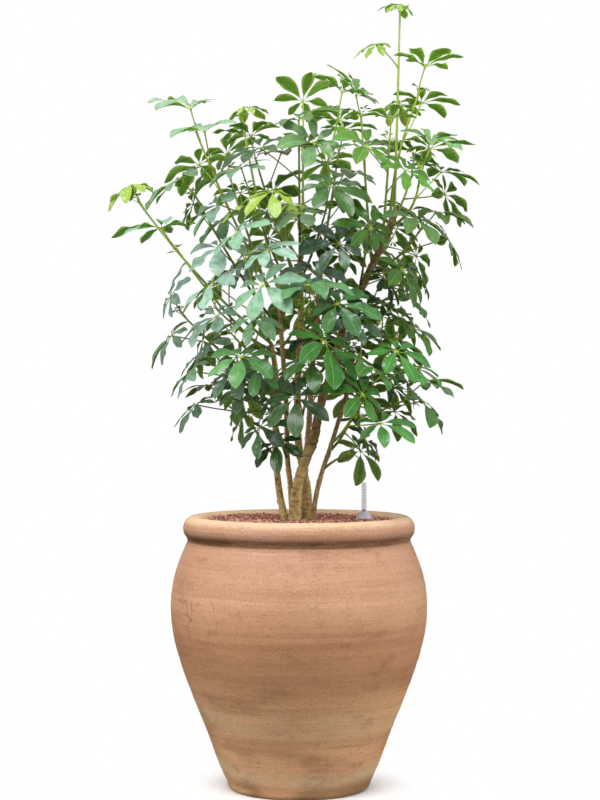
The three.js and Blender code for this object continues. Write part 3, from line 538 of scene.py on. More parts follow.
def terracotta():
    """Thrown, unglazed clay: bands and streaks round the pot, chalky patches low down, pits and grain.

    Heights are in metres. wavy is the height with a slow wave in it, and bent the place moved up or
    down a little, so that no band or streak runs straight.
    """
    f = Finish("terracotta", Roughness=0.85, Specular_IOR_Level=0.25)
    place = f.place()
    height = f.split(place)[2]
    wavy = f.maths("MULTIPLY_ADD", f.noise(place, 3.0, 1.0), 0.05, f.maths("ADD", height, -0.025))
    bent = f.vector_maths("MULTIPLY_ADD", f.noise(place, 7, output="Color"), (0, 0, 0.010), place)
    cloud = f.noise(place, 6.0, 4.0, 0.6)
    bands = f.drawn_noise(place, (0.7, 0.7, 20), 4.0, 0.6)
    streaks = f.drawn_noise(bent, (6, 6, 230), 4.0, 0.65)
    dash = f.drawn_noise(bent, (26, 26, 420), 2.0, 0.6)
    shade_and_stain = f.drawn_noise(place, (9, 9, 60), 3.0, 0.6)
    patch = f.drawn_noise(place, (7, 7, 18), 4.0, 0.6)
    stain = f.drawn_noise(place, (5, 5, 10), 5.0, 0.62)
    smudge = f.drawn_noise(place, (16, 16, 30), 5.0, 0.7)
    grain = f.noise(place, 330, 3.0, 0.75)

    colour = f.mix(f.between(cloud, 0.35, 0.65), shade(192, 149, 121), shade(183, 139, 107))
    # A painted highlight on the top of the rim, partly its paler worn edge, and painted shade in the hollow
    # under it, partly a real stain.
    colour = f.tinged(colour, height, 0.512, 0.528, 0.7, (238, 204, 170))
    hollow = f.times(f.between(height, 0.478, 0.484), f.between(height, 0.506, 0.490))
    colour = f.mix(f.times(hollow, f.between(shade_and_stain, 0.3, 0.6, 0.5, 1.0)), colour, shade(98, 64, 34))
    # Painted light: the lower pot is painted lighter and warmer, the lightness making up for the weaker
    # light on its downturned side.
    colour = f.mix(f.between(wavy, 0.22, 0.46, 0.9, 0.0), colour, shade(240, 184, 134))
    for pattern, low, high, most, tone in (
        (bands, 0.45, 0.68, 0.34, (164, 116, 82)),
        (bands, 0.45, 0.28, 0.3, (206, 166, 136)),
        (streaks, 0.52, 0.74, 0.34, (152, 104, 72)),
        (streaks, 0.46, 0.26, 0.3, (216, 178, 148)),
    ):
        colour = f.tinged(colour, pattern, low, high, most, tone)
    # Two chalky bands low down, then stains, painted shade on the lower belly and the darker band between
    # the chalk.
    for middle, reach, most in ((0.150, 0.034, 0.65), (0.045, 0.026, 0.95)):
        chalk = f.times(f.near(wavy, middle, reach), f.between(patch, 0.32, 0.66, 0.05, most))
        colour = f.mix(chalk, colour, shade(222, 196, 152))
    cloudy = f.times(f.between(stain, 0.48, 0.66), f.between(wavy, 0.44, 0.22, 0.1, 0.36))
    colour = f.mix(cloudy, colour, shade(142, 96, 62))
    # Painted shade on the lower belly, where it turns down, away from the light.
    belly = f.times(f.between(wavy, 0.38, 0.30), f.between(wavy, 0.17, 0.24, 0, 0.5))
    colour = f.mix(belly, colour, shade(162, 108, 72))
    dark = f.times(f.near(wavy, 0.088, 0.045), f.between(patch, 0.42, 0.64, 0.05, 0.42))
    colour = f.mix(dark, colour, shade(134, 88, 58))
    colour = f.tinged(colour, smudge, 0.54, 0.70, 0.3, (138, 92, 66))
    damp = f.times(f.between(wavy, 0.046, 0.014), f.between(patch, 0.40, 0.6, 0.4, 0.85))
    colour = f.mix(damp, colour, shade(124, 92, 58))
    colour = f.tinged(colour, grain, 0.53, 0.70, 0.6, (130, 84, 56))
    colour = f.tinged(colour, grain, 0.46, 0.28, 0.3, (236, 200, 168))
    pits = f.cells(f.stretched(place, (1, 1, 1.8)), 60)
    pit = f.times(f.between(pits, 0.12, 0.05), f.between(f.noise(place, 22), 0.45, 0.62))
    colour = f.mix(f.times(pit, 0.6), colour, shade(120, 74, 50))
    colour = f.tinged(colour, dash, 0.64, 0.74, 0.32, (126, 78, 52))
    # A web of fine cracks in one spot, high on the left of the belly.
    away = f.vector_maths("DISTANCE", place, (-0.19, -0.16, 0.36), output="Value")
    web = f.cells(bent, 34, feature="DISTANCE_TO_EDGE")
    spot = f.times(f.between(away, 0.08, 0.03), f.between(smudge, 0.47, 0.56))
    crack = f.times(f.between(web, 0.05, 0.0), spot)
    colour = f.mix(f.times(crack, 0.6), colour, shade(112, 74, 50))
    # Painted light: the rim's inner face is painted paler, as though lit, where the plant shades it.
    radius = f.vector_maths("LENGTH", f.stretched(place, (1, 1, 0)), output="Value")
    inner = f.times(f.between(radius, 0.206, 0.198), f.between(height, 0.50, 0.51, 0, 0.8))
    colour = f.mix(inner, colour, shade(255, 214, 172))
    normal = f.bump(streaks, 0.3, 0.0008)
    normal = f.bump(grain, 0.4, 0.0004, normal)
    normal = f.bump(f.maths("SUBTRACT", 1.0, pit), 0.4, 0.0006, normal)
    return f.wear(colour, None, normal)


def clay_pebble():
    """Fired clay granules: each pebble has its own red, brown or dark tone, and a rough skin."""
    f = Finish("clay_granules", Roughness=0.85, Specular_IOR_Level=0.3)
    tone, dark, _ = f.marks()
    colour = f.mix(tone, shade(255, 198, 170), shade(190, 108, 84))
    colour = f.mix(dark, colour, shade(84, 54, 54))
    speck = f.noise(f.place(), 900, 2.0, 0.6)
    colour = f.tinged(colour, speck, 0.5, 0.75, 0.5, (84, 50, 42))
    return f.wear(colour, None, f.bump(speck, 0.5, 0.0006))


def clay_bed():
    """The granulate between and under the visible pebbles, painted dark as the shade in the gaps."""
    f = Finish("clay_bed", Roughness=0.95, Specular_IOR_Level=0.2)
    tone = f.split(f.cells(f.place(), 160, "Color"))[0]
    colour = f.mix(tone, shade(84, 48, 40), shade(50, 32, 30))
    return f.wear(colour, None, f.bump(f.cells(f.place(), 160), 0.8, 0.002))


def bark():
    """Tan, olive and brown bark with cracks along the stem and greenish films; painted shade where the
    relief sinks, painted highlights where it rises, and painted shade on the stems right of the middle.
    """
    f = Finish("bark", Roughness=0.8, Specular_IOR_Level=0.3)
    relief, climb, worn = f.marks()
    place = f.place()
    blotch = f.noise(place, 95, 3.0, 0.65)
    film = f.noise(place, 50, 3.0, 0.6)
    rusty = f.noise(place, 70, 2.0)
    crack = f.drawn_noise(place, (260, 260, 55), 3.0, 0.7)
    spots = f.noise(place, 300, 2.0, 0.6)
    colour = f.mix(f.between(blotch, 0.36, 0.64), shade(218, 190, 128), shade(178, 146, 88))
    colour = f.tinged(colour, film, 0.50, 0.64, 0.6, (138, 128, 64))
    rust = f.times(f.between(climb, 0.1, 0.7, 0.25, 1.0), f.between(rusty, 0.42, 0.6, 0.0, 0.8))
    colour = f.mix(rust, colour, shade(168, 120, 78))
    # Painted shade where the relief sinks, as behind the scars, and painted highlights where it rises.
    colour = f.tinged(colour, relief, 0.0, -0.7, 0.7, (92, 66, 38))
    colour = f.tinged(colour, relief, 0.2, 0.9, 0.45, (222, 200, 154))
    colour = f.tinged(colour, crack, 0.52, 0.70, 0.5, (96, 70, 36))
    colour = f.tinged(colour, spots, 0.57, 0.68, 0.5, (228, 212, 172))
    colour = f.mix(f.times(worn, 0.8), colour, shade(190, 164, 112))
    # Painted shade: the stems right of the pot's middle are darker, away from the light and in the crown's
    # shadow.
    colour = f.tinged(colour, f.split(place)[0], 0.0, 0.03, 0.42, (88, 66, 32))
    normal = f.bump(crack, 0.5, 0.001)
    return f.wear(colour, None, f.bump(spots, 0.5, 0.0007, normal))


def blade_lines(f):
    """The blade's own pattern from its UV map: its midrib, its nine side veins and its margin."""
    across, along, _ = f.split(f.node("ShaderNodeUVMap", uv_map="blade").outputs[0])
    off = f.maths("ABSOLUTE", f.maths("SUBTRACT", across, 0.5))
    rib = f.between(off, 0.035, 0.008)
    slant = f.maths("MULTIPLY_ADD", off, -0.55, along)
    wave = f.maths("SINE", f.times(slant, 2 * math.pi * 9))
    vein = f.times(f.between(wave, 0.86, 1.0), f.between(off, 0.5, 0.3, 0.3, 1.0))
    margin = f.between(off, 0.455, 0.497)
    return rib, vein, margin


def let_light_through(f):
    """A thin blade glows where light falls on its other side."""
    f.shader.inputs["Subsurface Weight"].default_value = 0.35
    f.shader.inputs["Subsurface Radius"].default_value = (0.7, 1.0, 0.3)
    f.shader.inputs["Subsurface Scale"].default_value = 0.004


def blade_top(name, deep, light, pale, ribs):
    """A leaflet's upper side: glossy, with a pale midrib and margin, faint side veins, a soft mottle,
    painted sheen on pale leaves, and painted shade inside the crown from its tint.
    """
    f = Finish(name, Roughness=0.34, Specular_IOR_Level=0.2, Coat_Weight=0.35, Coat_Roughness=0.16)
    let_light_through(f)
    tint, pale_and_sheen, youth = f.marks()
    rib, vein, margin = blade_lines(f)
    mottle = f.noise(f.place(), 80, 1.0, 0.5)
    # The tint mark: a random tone, and painted shade inside the crown.
    lightness = f.maths("MULTIPLY_ADD", mottle, 0.5, f.maths("MULTIPLY_ADD", tint, 1.1, -0.35))
    colour = f.mix(lightness, deep, light)
    colour = f.mix(f.times(youth, 0.5), colour, shade(124, 164, 48))
    # Painted sheen, partly pale leaves: the pale mark, broken by the mottle, turns the colour pale.
    colour = f.mix(f.times(pale_and_sheen, f.between(mottle, 0.3, 0.6, 0.6, 1.0)), colour, pale)
    for line, amount in ((vein, 0.09), (margin, 0.25), (rib, 0.4)):
        colour = f.mix(f.times(line, amount), colour, ribs)
    sunk = f.maths("SUBTRACT", 0.0, f.maths("ADD", f.times(vein, 0.5), rib))
    normal = f.bump(sunk, 0.35, 0.0008)
    return f.wear(colour, None, f.bump(mottle, 0.1, 0.001, normal))


def blade_under(name, plain, ribs):
    """A leaflet's underside: matt and paler, with its midrib and side veins standing out."""
    f = Finish(name, Roughness=0.6, Specular_IOR_Level=0.1)
    let_light_through(f)
    tint, pale_and_sheen, youth = f.marks()
    rib, vein, _ = blade_lines(f)
    dark = tuple(c * 0.7 for c in plain[:3]) + (1.0,)
    # The tint mark: a random tone, and painted shade inside the crown.
    colour = f.mix(tint, dark, plain)
    colour = f.mix(f.times(youth, 0.6), colour, shade(142, 174, 72))
    # Painted light, partly pale leaves: undersides paler with the pale mark, on the lit left and top.
    colour = f.mix(f.times(pale_and_sheen, 0.5), colour, shade(150, 182, 136))
    colour = f.mix(f.times(vein, 0.14), colour, ribs)
    colour = f.mix(rib, colour, ribs)
    raised = f.maths("ADD", vein, f.times(rib, 2.0))
    return f.wear(colour, None, f.bump(raised, 0.5, 0.0008))


def green_stalk(name, old, new):
    """Green shoots and leaf stalks: from an older tone at the stem to a fresh one at the tip."""
    f = Finish(name, Roughness=0.5, Specular_IOR_Level=0.4)
    age, _, _ = f.marks()
    flecks = f.noise(f.stretched(f.place(), (1, 1, 0.35)), 420, 2.0, 0.6)
    colour = f.tinged(f.mix(age, old, new), flecks, 0.55, 0.72, 0.35, (190, 186, 120))
    return f.wear(colour, None, f.bump(flecks, 0.3, 0.0004))


def plastic(name, colour, roughness, **more):
    """Moulded plastic with a faint unevenness and dust in its roughness."""
    f = Finish(name, Base_Color=colour, Roughness=roughness, Specular_IOR_Level=0.5, **more)
    dust = f.noise(f.place(), 160, 3.0, 0.6)
    dusty = f.between(dust, 0.35, 0.7, roughness * 0.8, roughness * 1.35)
    return f.wear(None, dusty, f.bump(dust, 0.08, 0.0005))


# ---------- Pot ----------
POT_SIDES = 300
def arc(centre, across, up, start, end, steps):
    """Points on an upright ellipse between two angles in degrees: centre + (across cos, up sin)."""
    a = np.radians(np.linspace(start, end, steps))
    return np.stack([centre[0] + across * np.cos(a), centre[1] + up * np.sin(a)], -1)


def wall_inside(wall):
    """The inside of the pot's wall, from its floor to its neck: the outside's curve moved in."""
    return catmull(POT_OUTSIDE, np.linspace(0.2, 0.8, 16), False) - [wall, 0]


def pot_profile():
    """The pot's profile from the centre of its floor, up the inside, over the rim and down to the foot.

    The wall is a uniform Catmull-Rom curve through POT_OUTSIDE, the inside the same curve moved in by
    the wall's thickness, the rim and the foot's edge are arcs.
    """
    wall = catmull(POT_OUTSIDE, np.linspace(0, 1, 150), False)
    inside = wall_inside(WALL)
    floor = np.stack([np.linspace(0, inside[0, 0] - FLOOR_EDGE, 8), np.full(8, FLOOR)], -1)
    rim = arc((BEAD_RADIUS, BEAD_HEIGHT), BEAD_ACROSS, BEAD_UP, 205, -50, 56)
    foot = arc((FOOT_RADIUS, FOOT_ROUND), FOOT_ROUND, FOOT_ROUND, -20, -90, 8)
    return np.vstack([floor, inside, rim, wall[::-1], foot, [(100, 0.0), (50, 0.0), (0, 0.0)]])


def throwing_lines(profile, turn):
    """The radius's own unevenness: rings of the potter's fingers, long and low, and finer ones over them.

    It fades out on the flat floor and underside. Its mean lies 0.75 mm inside the solid's wall, so
    that its ridges stay within the solid.
    """
    height = profile[:, 1:]
    rings = 0.35 * ripple(height / 11, turn, 3, 1) + 0.22 * ripple(height / 4.2, turn, 5, 2)
    fine = 0.12 * ripple(height / 1.9, turn, 14, 3)
    upright = smoothstep(height, 3, 20) * smoothstep(profile[:, :1], 118, 130)
    return (rings + fine - 0.75) * upright


# ---------- Clay granulate ----------
def soil_level(x, y):
    """The height of the granulate's top: two slow waves about its mean."""
    swell = 1.6 * np.sin(x * 0.045 + 1.0) * np.cos(y * 0.052 - 0.6)
    return SOIL_TOP + swell + 0.8 * np.sin(x * 0.11 - y * 0.09)


BED_DEPTH = 3.2  # how far the bed's top lies below the solid's


def granulate_bed():
    """The body of the granulate: the pot's inside profile, closed by a disc just under the pebbles."""
    inside = wall_inside(WALL + 1)
    low, high = FLOOR + 1, SOIL_TOP - BED_DEPTH
    floor = [(0, low), (inside[0, 0] - FLOOR_EDGE, low)]
    neck = [(SOIL_RADIUS, BEAD_HEIGHT - 14), (SOIL_RADIUS, high - 1)]
    top = np.stack([np.linspace(SOIL_RADIUS - 2, 0, 30), np.full(30, high)], -1)
    made = lathe(np.vstack([floor, inside, neck, top]), 96)
    p = made.points
    flat = (np.hypot(p[:, 0], p[:, 1]) < SOIL_RADIUS - 1.5) & (p[:, 2] > high - 0.5)
    p[flat, 2] = soil_level(p[flat, 0], p[flat, 1]) - BED_DEPTH
    return made


def pebble_shape():
    """An angular granule: a cube's 8 corners and a point over each face, joined by 12 four-sided faces."""
    corners = np.array([(x, y, z) for x in (-1, 1) for y in (-1, 1) for z in (-1, 1)]) * 0.62
    tops = np.vstack([np.eye(3), -np.eye(3)])
    faces = []
    for a in range(3):
        b, c = (a + 1) % 3, (a + 2) % 3
        for p in (-1, 1):
            for q in (-1, 1):
                signs = np.zeros((2, 3), int)
                signs[:, a], signs[:, b], signs[:, c] = p, q, (-1, 1)
                low, high = ((signs + 1) // 2) @ [4, 2, 1]
                face = [8 + a + 3 * (p < 0), low, 8 + b + 3 * (q < 0), high]
                faces.append(face if p * q > 0 else face[::-1])
    return np.vstack([corners, tops]), np.array(faces)


def pebbles(seed, spacing, rise, taken):
    """Pebbles on a jittered triangular lattice, each a granule stretched, dented and turned at random.

    spacing is the lattice's, rise the height of their centres over the bed, and taken the share of
    places that hold one. Places at the pot's wall, in a stem or under the gauge's collar stay empty. A
    unit quaternion (w, v) turns a point p to p + 2 v x (v x p + w p).
    """
    rng = np.random.default_rng(seed)
    reach = int(190 / spacing) + 2
    i, j = np.meshgrid(np.arange(-reach, reach), np.arange(-reach, reach), indexing="ij")
    x = (i + 0.5 * (j % 2)).ravel() * spacing
    y = j.ravel() * spacing * 0.866
    x = x + rng.uniform(-0.32, 0.32, x.shape) * spacing
    y = y + rng.uniform(-0.32, 0.32, y.shape) * spacing
    size = spacing * rng.uniform(0.44, 0.66, x.shape)
    free = (np.hypot(x, y) + size < SOIL_RADIUS) & (rng.uniform(0, 1, x.shape) < taken)
    for radius, _, foot, *_ in STEMS.values():
        free &= np.hypot(x - foot[0], y - foot[1]) > radius + size * 0.5
    free &= np.hypot(x - GAUGE[0], y - GAUGE[1]) > COLLAR_RADIUS + size * 0.6
    x, y, size = x[free], y[free], size[free]
    z = soil_level(x, y) - BED_DEPTH + rise + rng.uniform(-1, 1, x.shape) * 0.22 * spacing

    granule, faces = pebble_shape()
    count, corners = len(x), len(granule)
    stretch = rng.uniform(0.72, 1.15, (count, 1, 3))
    dents = rng.uniform(0.8, 1.12, (count, corners, 1))
    shape = granule[None] * stretch * dents
    turns = unit(rng.normal(size=(count, 4)))
    w, v = turns[:, None, :1], turns[:, None, 1:]
    shape = (shape + 2 * np.cross(v, np.cross(v, shape) + w * shape)) * size[:, None, None]
    points = shape + np.stack([x, y, z], -1)[:, None]
    tones = np.stack([rng.uniform(0, 1, count) ** power for power in (1.2, 1.8, 1.0)], -1)
    numbers = (faces[None] + corners * np.arange(count)[:, None, None]).reshape(-1, 4)
    return Surface(points.reshape(-1, 3), [numbers], marks=np.repeat(tones, corners, 0))


# ---------- Water gauge ----------
def gauge_body():
    """The gauge's tube in the granulate and its domed collar, as one turned ring of plastic."""
    outer, bore, neck = GAUGE_BODY_RADIUS, GAUGE_BODY_RADIUS - 1.5, TUBE_RADIUS + 1.2
    under, brim = SOIL_TOP + 2.5, SOIL_TOP + 3.4
    reach, rise = COLLAR_RADIUS - neck, COLLAR_TOP - 2.5 - brim
    dome = np.radians(np.linspace(4, 66, 12))

    def along(values):
        return (values - values[0]) / (values[-1] - values[0])

    bell = [COLLAR_RADIUS - reach * along(np.cos(dome)), brim + rise * along(np.sin(dome))]
    foot = [(bore - 1.5, GAUGE_FOOT), (outer - 0.4, GAUGE_FOOT), (outer, GAUGE_FOOT + 0.5)]
    edge = [(outer, under), (COLLAR_RADIUS - 0.4, under), (COLLAR_RADIUS, under + 0.4)]
    top = [(neck, COLLAR_TOP - 0.5), (neck - 0.4, COLLAR_TOP), (TUBE_BORE, COLLAR_TOP)]
    inside = [(TUBE_BORE, SOIL_TOP - 4), (bore, SOIL_TOP - 8)]
    lip = [(bore, GAUGE_FOOT + 4), (bore - 1.5, GAUGE_FOOT + 4)]
    return ring_lathe(np.vstack([foot, edge, np.stack(bell, -1), top, inside, lip]), 48)


def gauge_tube():
    """The clear tube: a little wider at its foot, closed and rounded at its top."""
    wide, low, high = TUBE_RADIUS + 0.5, COLLAR_TOP + 0.3, TUBE_TOP
    outer = [(wide, low), (wide, COLLAR_TOP + 24), (TUBE_RADIUS, COLLAR_TOP + 25.5)]
    crown = [(TUBE_RADIUS, high - 0.8), (TUBE_RADIUS - 0.25, high - 0.25), (TUBE_RADIUS - 0.8, high)]
    hollow = [(0, high - 3), (2.0, high - 3), (TUBE_BORE - 0.3, high - 3), (TUBE_BORE, high - 3.4)]
    return lathe([*hollow, (TUBE_BORE, low), *outer, *crown, (2.0, high), (0, high)], 48)


def gauge_float():
    """The float: a fat body low down, a thin rod and the red tip that is read in the tube."""
    low = GAUGE_FOOT + 4.3
    body = [(0, low), (4.0, low), (4.6, low + 1), (4.6, low + 60), (1.2, low + 63)]
    tip = [(1.2, FLOAT_TIP - 6), (2.2, FLOAT_TIP - 5.4), (2.4, FLOAT_TIP - 4.6), (2.4, FLOAT_TIP - 1.4)]
    return lathe([*body, *tip, (1.9, FLOAT_TIP - 0.5), (1.2, FLOAT_TIP - 0.1), (0, FLOAT_TIP)][::-1], 32)


def gauge_mark(height, tall, radius, facing):
    """A printed mark: a thin patch bent round the tube of that radius, facing a direction in degrees."""
    turn = np.radians(facing + np.linspace(-17, 17, 7))
    rows = []
    for r in (radius + 0.02, radius + 0.12):
        for z in (height - tall / 2, height + tall / 2):
            rows.append(np.stack([r * np.cos(turn), r * np.sin(turn), np.full(7, z)], -1))
    a, b, c, d = rows
    points = np.stack([a, b, d, c], 1)
    quads = net(7, 4, True)
    ends = [[0, 1, 2, 3], [27, 26, 25, 24]]
    return Surface(points.reshape(-1, 3) + GAUGE, [np.array(quads)[:, ::-1], np.array(ends)[:, ::-1]])


# ---------- The plant's rule of growth, as in the part ----------
class Draws:
    """Seeded draws: state = (1664525 state + 1013904223) mod 2^32, a share of 2^32 each."""

    def __init__(self, number):
        self.state = number * 7919 + 17
        for _ in range(4):
            self.draw()

    def draw(self):
        self.state = (self.state * 1664525 + 1013904223) % 4294967296
        return self.state / 4294967296

    def spread(self, size):
        return (2 * self.draw() - 1) * size


def stem_line(name):
    """The stem's centre line at the solids' points, with their radii, from its buried end up."""
    low, high, *route = STEMS[name]
    route = np.array(route, float)
    steps = 2 * (len(route) - 1)
    share = np.arange(steps + 1) / steps
    points = catmull(route, share, True)
    knots = np.where(np.arange(steps + 1) % 2, 0.94, 1.05)
    radii = (low + (high - low) * np.sqrt(share)) * knots
    return np.vstack([points[0] - [0, 0, BURIED], points]), np.concatenate([[low * 0.9], radii])


def stem_point(name, height):
    """The point on a stem's centre line at a height."""
    points, _ = stem_line(name)
    i = max(int(np.argmax(points[:, 2] > height)), 1)
    a, b = points[i - 1], points[i]
    return a + (b - a) * ((height - a[2]) / (b[2] - a[2]))


class Room:
    """What has grown so far: tubes as segments with radii, and leaflets as triangles with clearance."""

    def __init__(self):
        self.p, self.q, self.r, self.owner = [], [], [], []
        self.leaves = []

    def add_tube(self, points, radii, owner):
        for i in range(len(points) - 1):
            self.p.append(points[i])
            self.q.append(points[i + 1])
            self.r.append(max(radii[i], radii[i + 1]))
            self.owner.append(owner)

    def tubes(self):
        return np.array(self.p), np.array(self.q), np.array(self.r), np.array(self.owner)

    def walls(self):
        """The half-spaces round all leaflets so far."""
        return tuple(np.concatenate([leaf["walls"][i] for leaf in self.leaves]) for i in (0, 1))

    def crowded(self, points, radius, own):
        """Whether a point is nearer than both radii and CLEAR_TUBE to a tube that isn't its own."""
        p, q, r, owner = self.tubes()
        d = q - p
        t = np.clip(((points[:, None] - p) * d).sum(-1) / (d * d).sum(-1), 0, 1)
        gap = np.linalg.norm(points[:, None] - (p + d * t[..., None]), axis=-1)
        return bool(((gap < r + radius + CLEAR_TUBE) & (owner != own)).any())


def prisms(triangles):
    """The half-spaces round thickened triangles: normals (n, 5, 3) and limits (n, 5)."""
    a, b, c = triangles[:, 0], triangles[:, 1], triangles[:, 2]
    normal = unit(np.cross(b - a, c - a))
    level = (normal * a).sum(-1)
    normals, limits = [normal, -normal], [level + CLEAR_FACE, CLEAR_FACE - level]
    for p, q in ((a, b), (b, c), (c, a)):
        outward = unit(np.cross(q - p, normal))
        normals.append(outward)
        limits.append((outward * p).sum(-1) + CLEAR_EDGE)
    return np.stack(normals, 1), np.stack(limits, 1)


def enter(p, q, radius, walls):
    """Whether any segment from p to q, of a radius, enters any of the prisms."""
    normals, limits = walls
    a = np.einsum("mfx,kx->kmf", normals, p) - limits - radius
    b = np.einsum("mfx,kx->kmf", normals, q) - limits - radius
    outside = ((a > 0) & (b > 0)).any(-1)
    with np.errstate(divide="ignore", invalid="ignore"):
        cut = a / (a - b)
    low = np.where(a > 0, cut, 0).max(-1)
    high = np.where(b > 0, cut, 1).min(-1)
    return bool(((low < high) & ~outside).any())


def bend(base, control, tip, t):
    """A quadratic Bezier curve from base to tip at each t."""
    t = np.asarray(t)[:, None]
    return (base * (1 - t) + control * t) * (1 - t) + (control * (1 - t) + tip * t) * t


def grow_shoot(row, index, room):
    """A shoot as a bent line from its stem to its tip, bent anew until it is clear of other tubes."""
    name, stem, height, tip, leaves, turn, length, tone = row
    base, end = stem_point(stem, height), np.array(tip, float)
    size = np.linalg.norm(end - base)
    tested = 0.2 + 0.8 * np.arange(24) / 23
    for attempt in range(TRIES):
        draws = Draws(1000 + 100 * index + attempt)
        reach = min(attempt, 12) * 0.02 * size
        control = (base + end) / 2 - UP * 0.1 * size + [draws.spread(reach) for _ in range(3)]
        if not room.crowded(bend(base, control, end, tested), SHOOT_RADIUS[0], name):
            break
    share = np.arange(SHOOT_STEPS + 1) / SHOOT_STEPS
    line = bend(base, control, end, share)
    radii = SHOOT_RADIUS[0] + (SHOOT_RADIUS[1] - SHOOT_RADIUS[0]) * share
    room.add_tube(line[1:], radii[1:], name)
    return {
        "name": name,
        "index": index,
        "tone": tone,
        "count": leaves,
        "turn": turn,
        "length": length,
        "line": line,
        "curve": (base, control, end),
        "leaves": [],
    }


def umbrella(shoot, k, attempt):
    """One try of a shoot's leaf: hub, normal, stalk, and the corners of its leaflets.

    Leaves past the shoot's count are the rest, smaller and more mixed in their ways.
    """
    draws = Draws(9000 + 700 * shoot["index"] + 90 * k + attempt)
    loose = min(attempt, 30) / 30
    rest = k - shoot["count"]
    spot = 0.97 - 0.6 * k / shoot["count"] if rest < 0 else 0.93 - 0.6 * ((rest + 0.4) * 0.618 % 1)
    at = spot * SHOOT_STEPS
    step = min(int(at), SHOOT_STEPS - 1)
    line = shoot["line"]
    root = line[step] + (line[step + 1] - line[step]) * (at - step)
    axis = unit(line[step + 1] - line[step])

    turn = math.radians(shoot["turn"]) + GOLDEN_TURN * (k - 1) + draws.spread(0.3 + 2.8 * loose)
    opened = draws.spread(0.3 + 0.5 * loose) if k == 0 else 0.95 + draws.spread(0.25 + 0.35 * loose)
    across = unit(np.array([1.0, 0, 0]) - axis * axis[0])
    beside = np.cross(axis, across)
    radial = across * math.cos(turn) + beside * math.sin(turn)
    direction = unit(axis * math.cos(opened) + radial * math.sin(opened) + UP * 0.25)
    share = TIP_STALK if k == 0 else SIDE_STALK + 0.25 * draws.spread(1)
    stalk = shoot["length"] * share * (1 - 0.25 * loose * draws.draw())
    hub = root + direction * stalk

    young = shoot["tone"] == "young"
    outward = unit(np.array([*(hub[:2] - PLANT_AXIS), 0.0]))
    high = float(smoothstep(hub[2], 1000, 1350))
    facing = draws.draw() * (0.3 if young else 1) * (1 if rest < 0 else 0.6)
    shake = [draws.spread(0.35 + 0.4 * loose), draws.spread(0.35 + 0.4 * loose), draws.spread(0.2)]
    lean = (0.15 + 1.15 * facing) * (1 - 0.45 * high)
    normal = unit(UP * (1.05 - 0.65 * facing + 0.3 * high) + outward * lean + direction * 0.3 + shake)
    normal = unit(normal + direction * max(0.45 - normal @ direction, 0))
    front = unit(direction - normal * (direction @ normal))
    side = np.cross(normal, front)
    roll = draws.spread(0.1)
    raised = 0 if young else RAISED * high
    droop = DROOP[shoot["tone"]] + 0.16 * draws.draw() - raised
    size = shoot["length"] * (LARGEST - 0.12 * draws.draw())
    if rest >= 0:
        size *= 0.72 + 0.26 * draws.draw()
        droop += 0.35 * draws.draw() - 0.08

    pairs = np.array([(draws.spread(0.06), draws.spread(0.12)) for _ in range(LEAFLETS)])
    turned = ((np.arange(LEAFLETS) - (LEAFLETS - 1) / 2) * 2 * math.pi / LEAFLETS)[:, None]
    angle = roll + turned
    out = front * np.cos(angle) + side * np.sin(angle)
    width = -front * np.sin(angle) + side * np.cos(angle)
    length = size * (1 - FRONT_LONGER + FRONT_LONGER * np.cos(turned)) * (1 + pairs[:, :1])
    fall = droop + pairs[:, 1:]
    first = out * np.cos(fall) - normal * np.sin(fall)
    second = unit(first - normal * 0.2 - UP * 0.22)
    middle = hub + first * WIDEST * length
    flank = width * HALF_WIDTH * length
    return {
        "hub": hub,
        "normal": normal,
        "width": width,
        "length": length,
        "root": hub + first * HUB_RADIUS,
        "left": middle - flank,
        "right": middle + flank,
        "middle": middle,
        "tip": middle + second * (1 - WIDEST) * length,
        "stalk": (root, hub),
        "reach": size + HUB_RADIUS,
    }


def grow_leaf(shoot, k, room):
    """A leaf takes the first of its tries that is clear of all that has grown, or isn't grown."""
    for attempt in range(TRIES):
        leaf = umbrella(shoot, k, attempt)
        foot, head = leaf["stalk"]
        points = foot + (head - foot) * (np.arange(2, 16) / 15)[:, None]
        if room.crowded(points, STALK_RADIUS, shoot["name"]):
            continue
        root, left, right, tip = (leaf[key] for key in ("root", "left", "right", "tip"))
        walls = prisms(np.concatenate([np.stack([root, left, right], 1), np.stack([left, tip, right], 1)]))
        starts = np.concatenate([root, root, left, left, right])
        ends = np.concatenate([left, right, right, tip, tip])
        if room.leaves and enter(foot[None], head[None], STALK_RADIUS, room.walls()):
            continue
        near = [o for o in room.leaves if np.linalg.norm(o["hub"] - head) <= o["reach"] + leaf["reach"]]
        if any(enter(starts, ends, 0, o["walls"]) or enter(*o["edges"], 0, walls) for o in near):
            continue
        p, q, r, _ = room.tubes()
        if enter(p, q, r[:, None, None], walls):
            continue
        room.leaves.append({"hub": head, "reach": leaf["reach"], "walls": walls, "edges": (starts, ends)})
        room.add_tube((foot, head), (STALK_RADIUS, STALK_RADIUS), shoot["name"])
        shoot["leaves"].append(leaf)
        return


def grow_plant():
    """The stems, then all shoots, then the leaves in rounds, one from each shoot that still has one."""
    room = Room()
    for name in STEMS:
        points, radii = stem_line(name)
        room.add_tube(points, radii, name)
    shoots = [grow_shoot(row, i, room) for i, row in enumerate(SHOOTS)]
    for k in range(ROUNDS):
        for shoot in shoots:
            if k < shoot["count"]:
                grow_leaf(shoot, k, room)
    for more in range(REST):
        for shoot in shoots:
            x, _, z = shoot["line"][-1]
            if 780 < z < 1180 and -180 < x < 200:
                grow_leaf(shoot, shoot["count"] + more, room)
    return shoots


# ---------- Woody stems ----------
STEM_SIDES = 30
RING_STEP = 2.4  # between the rings of a stem's surface


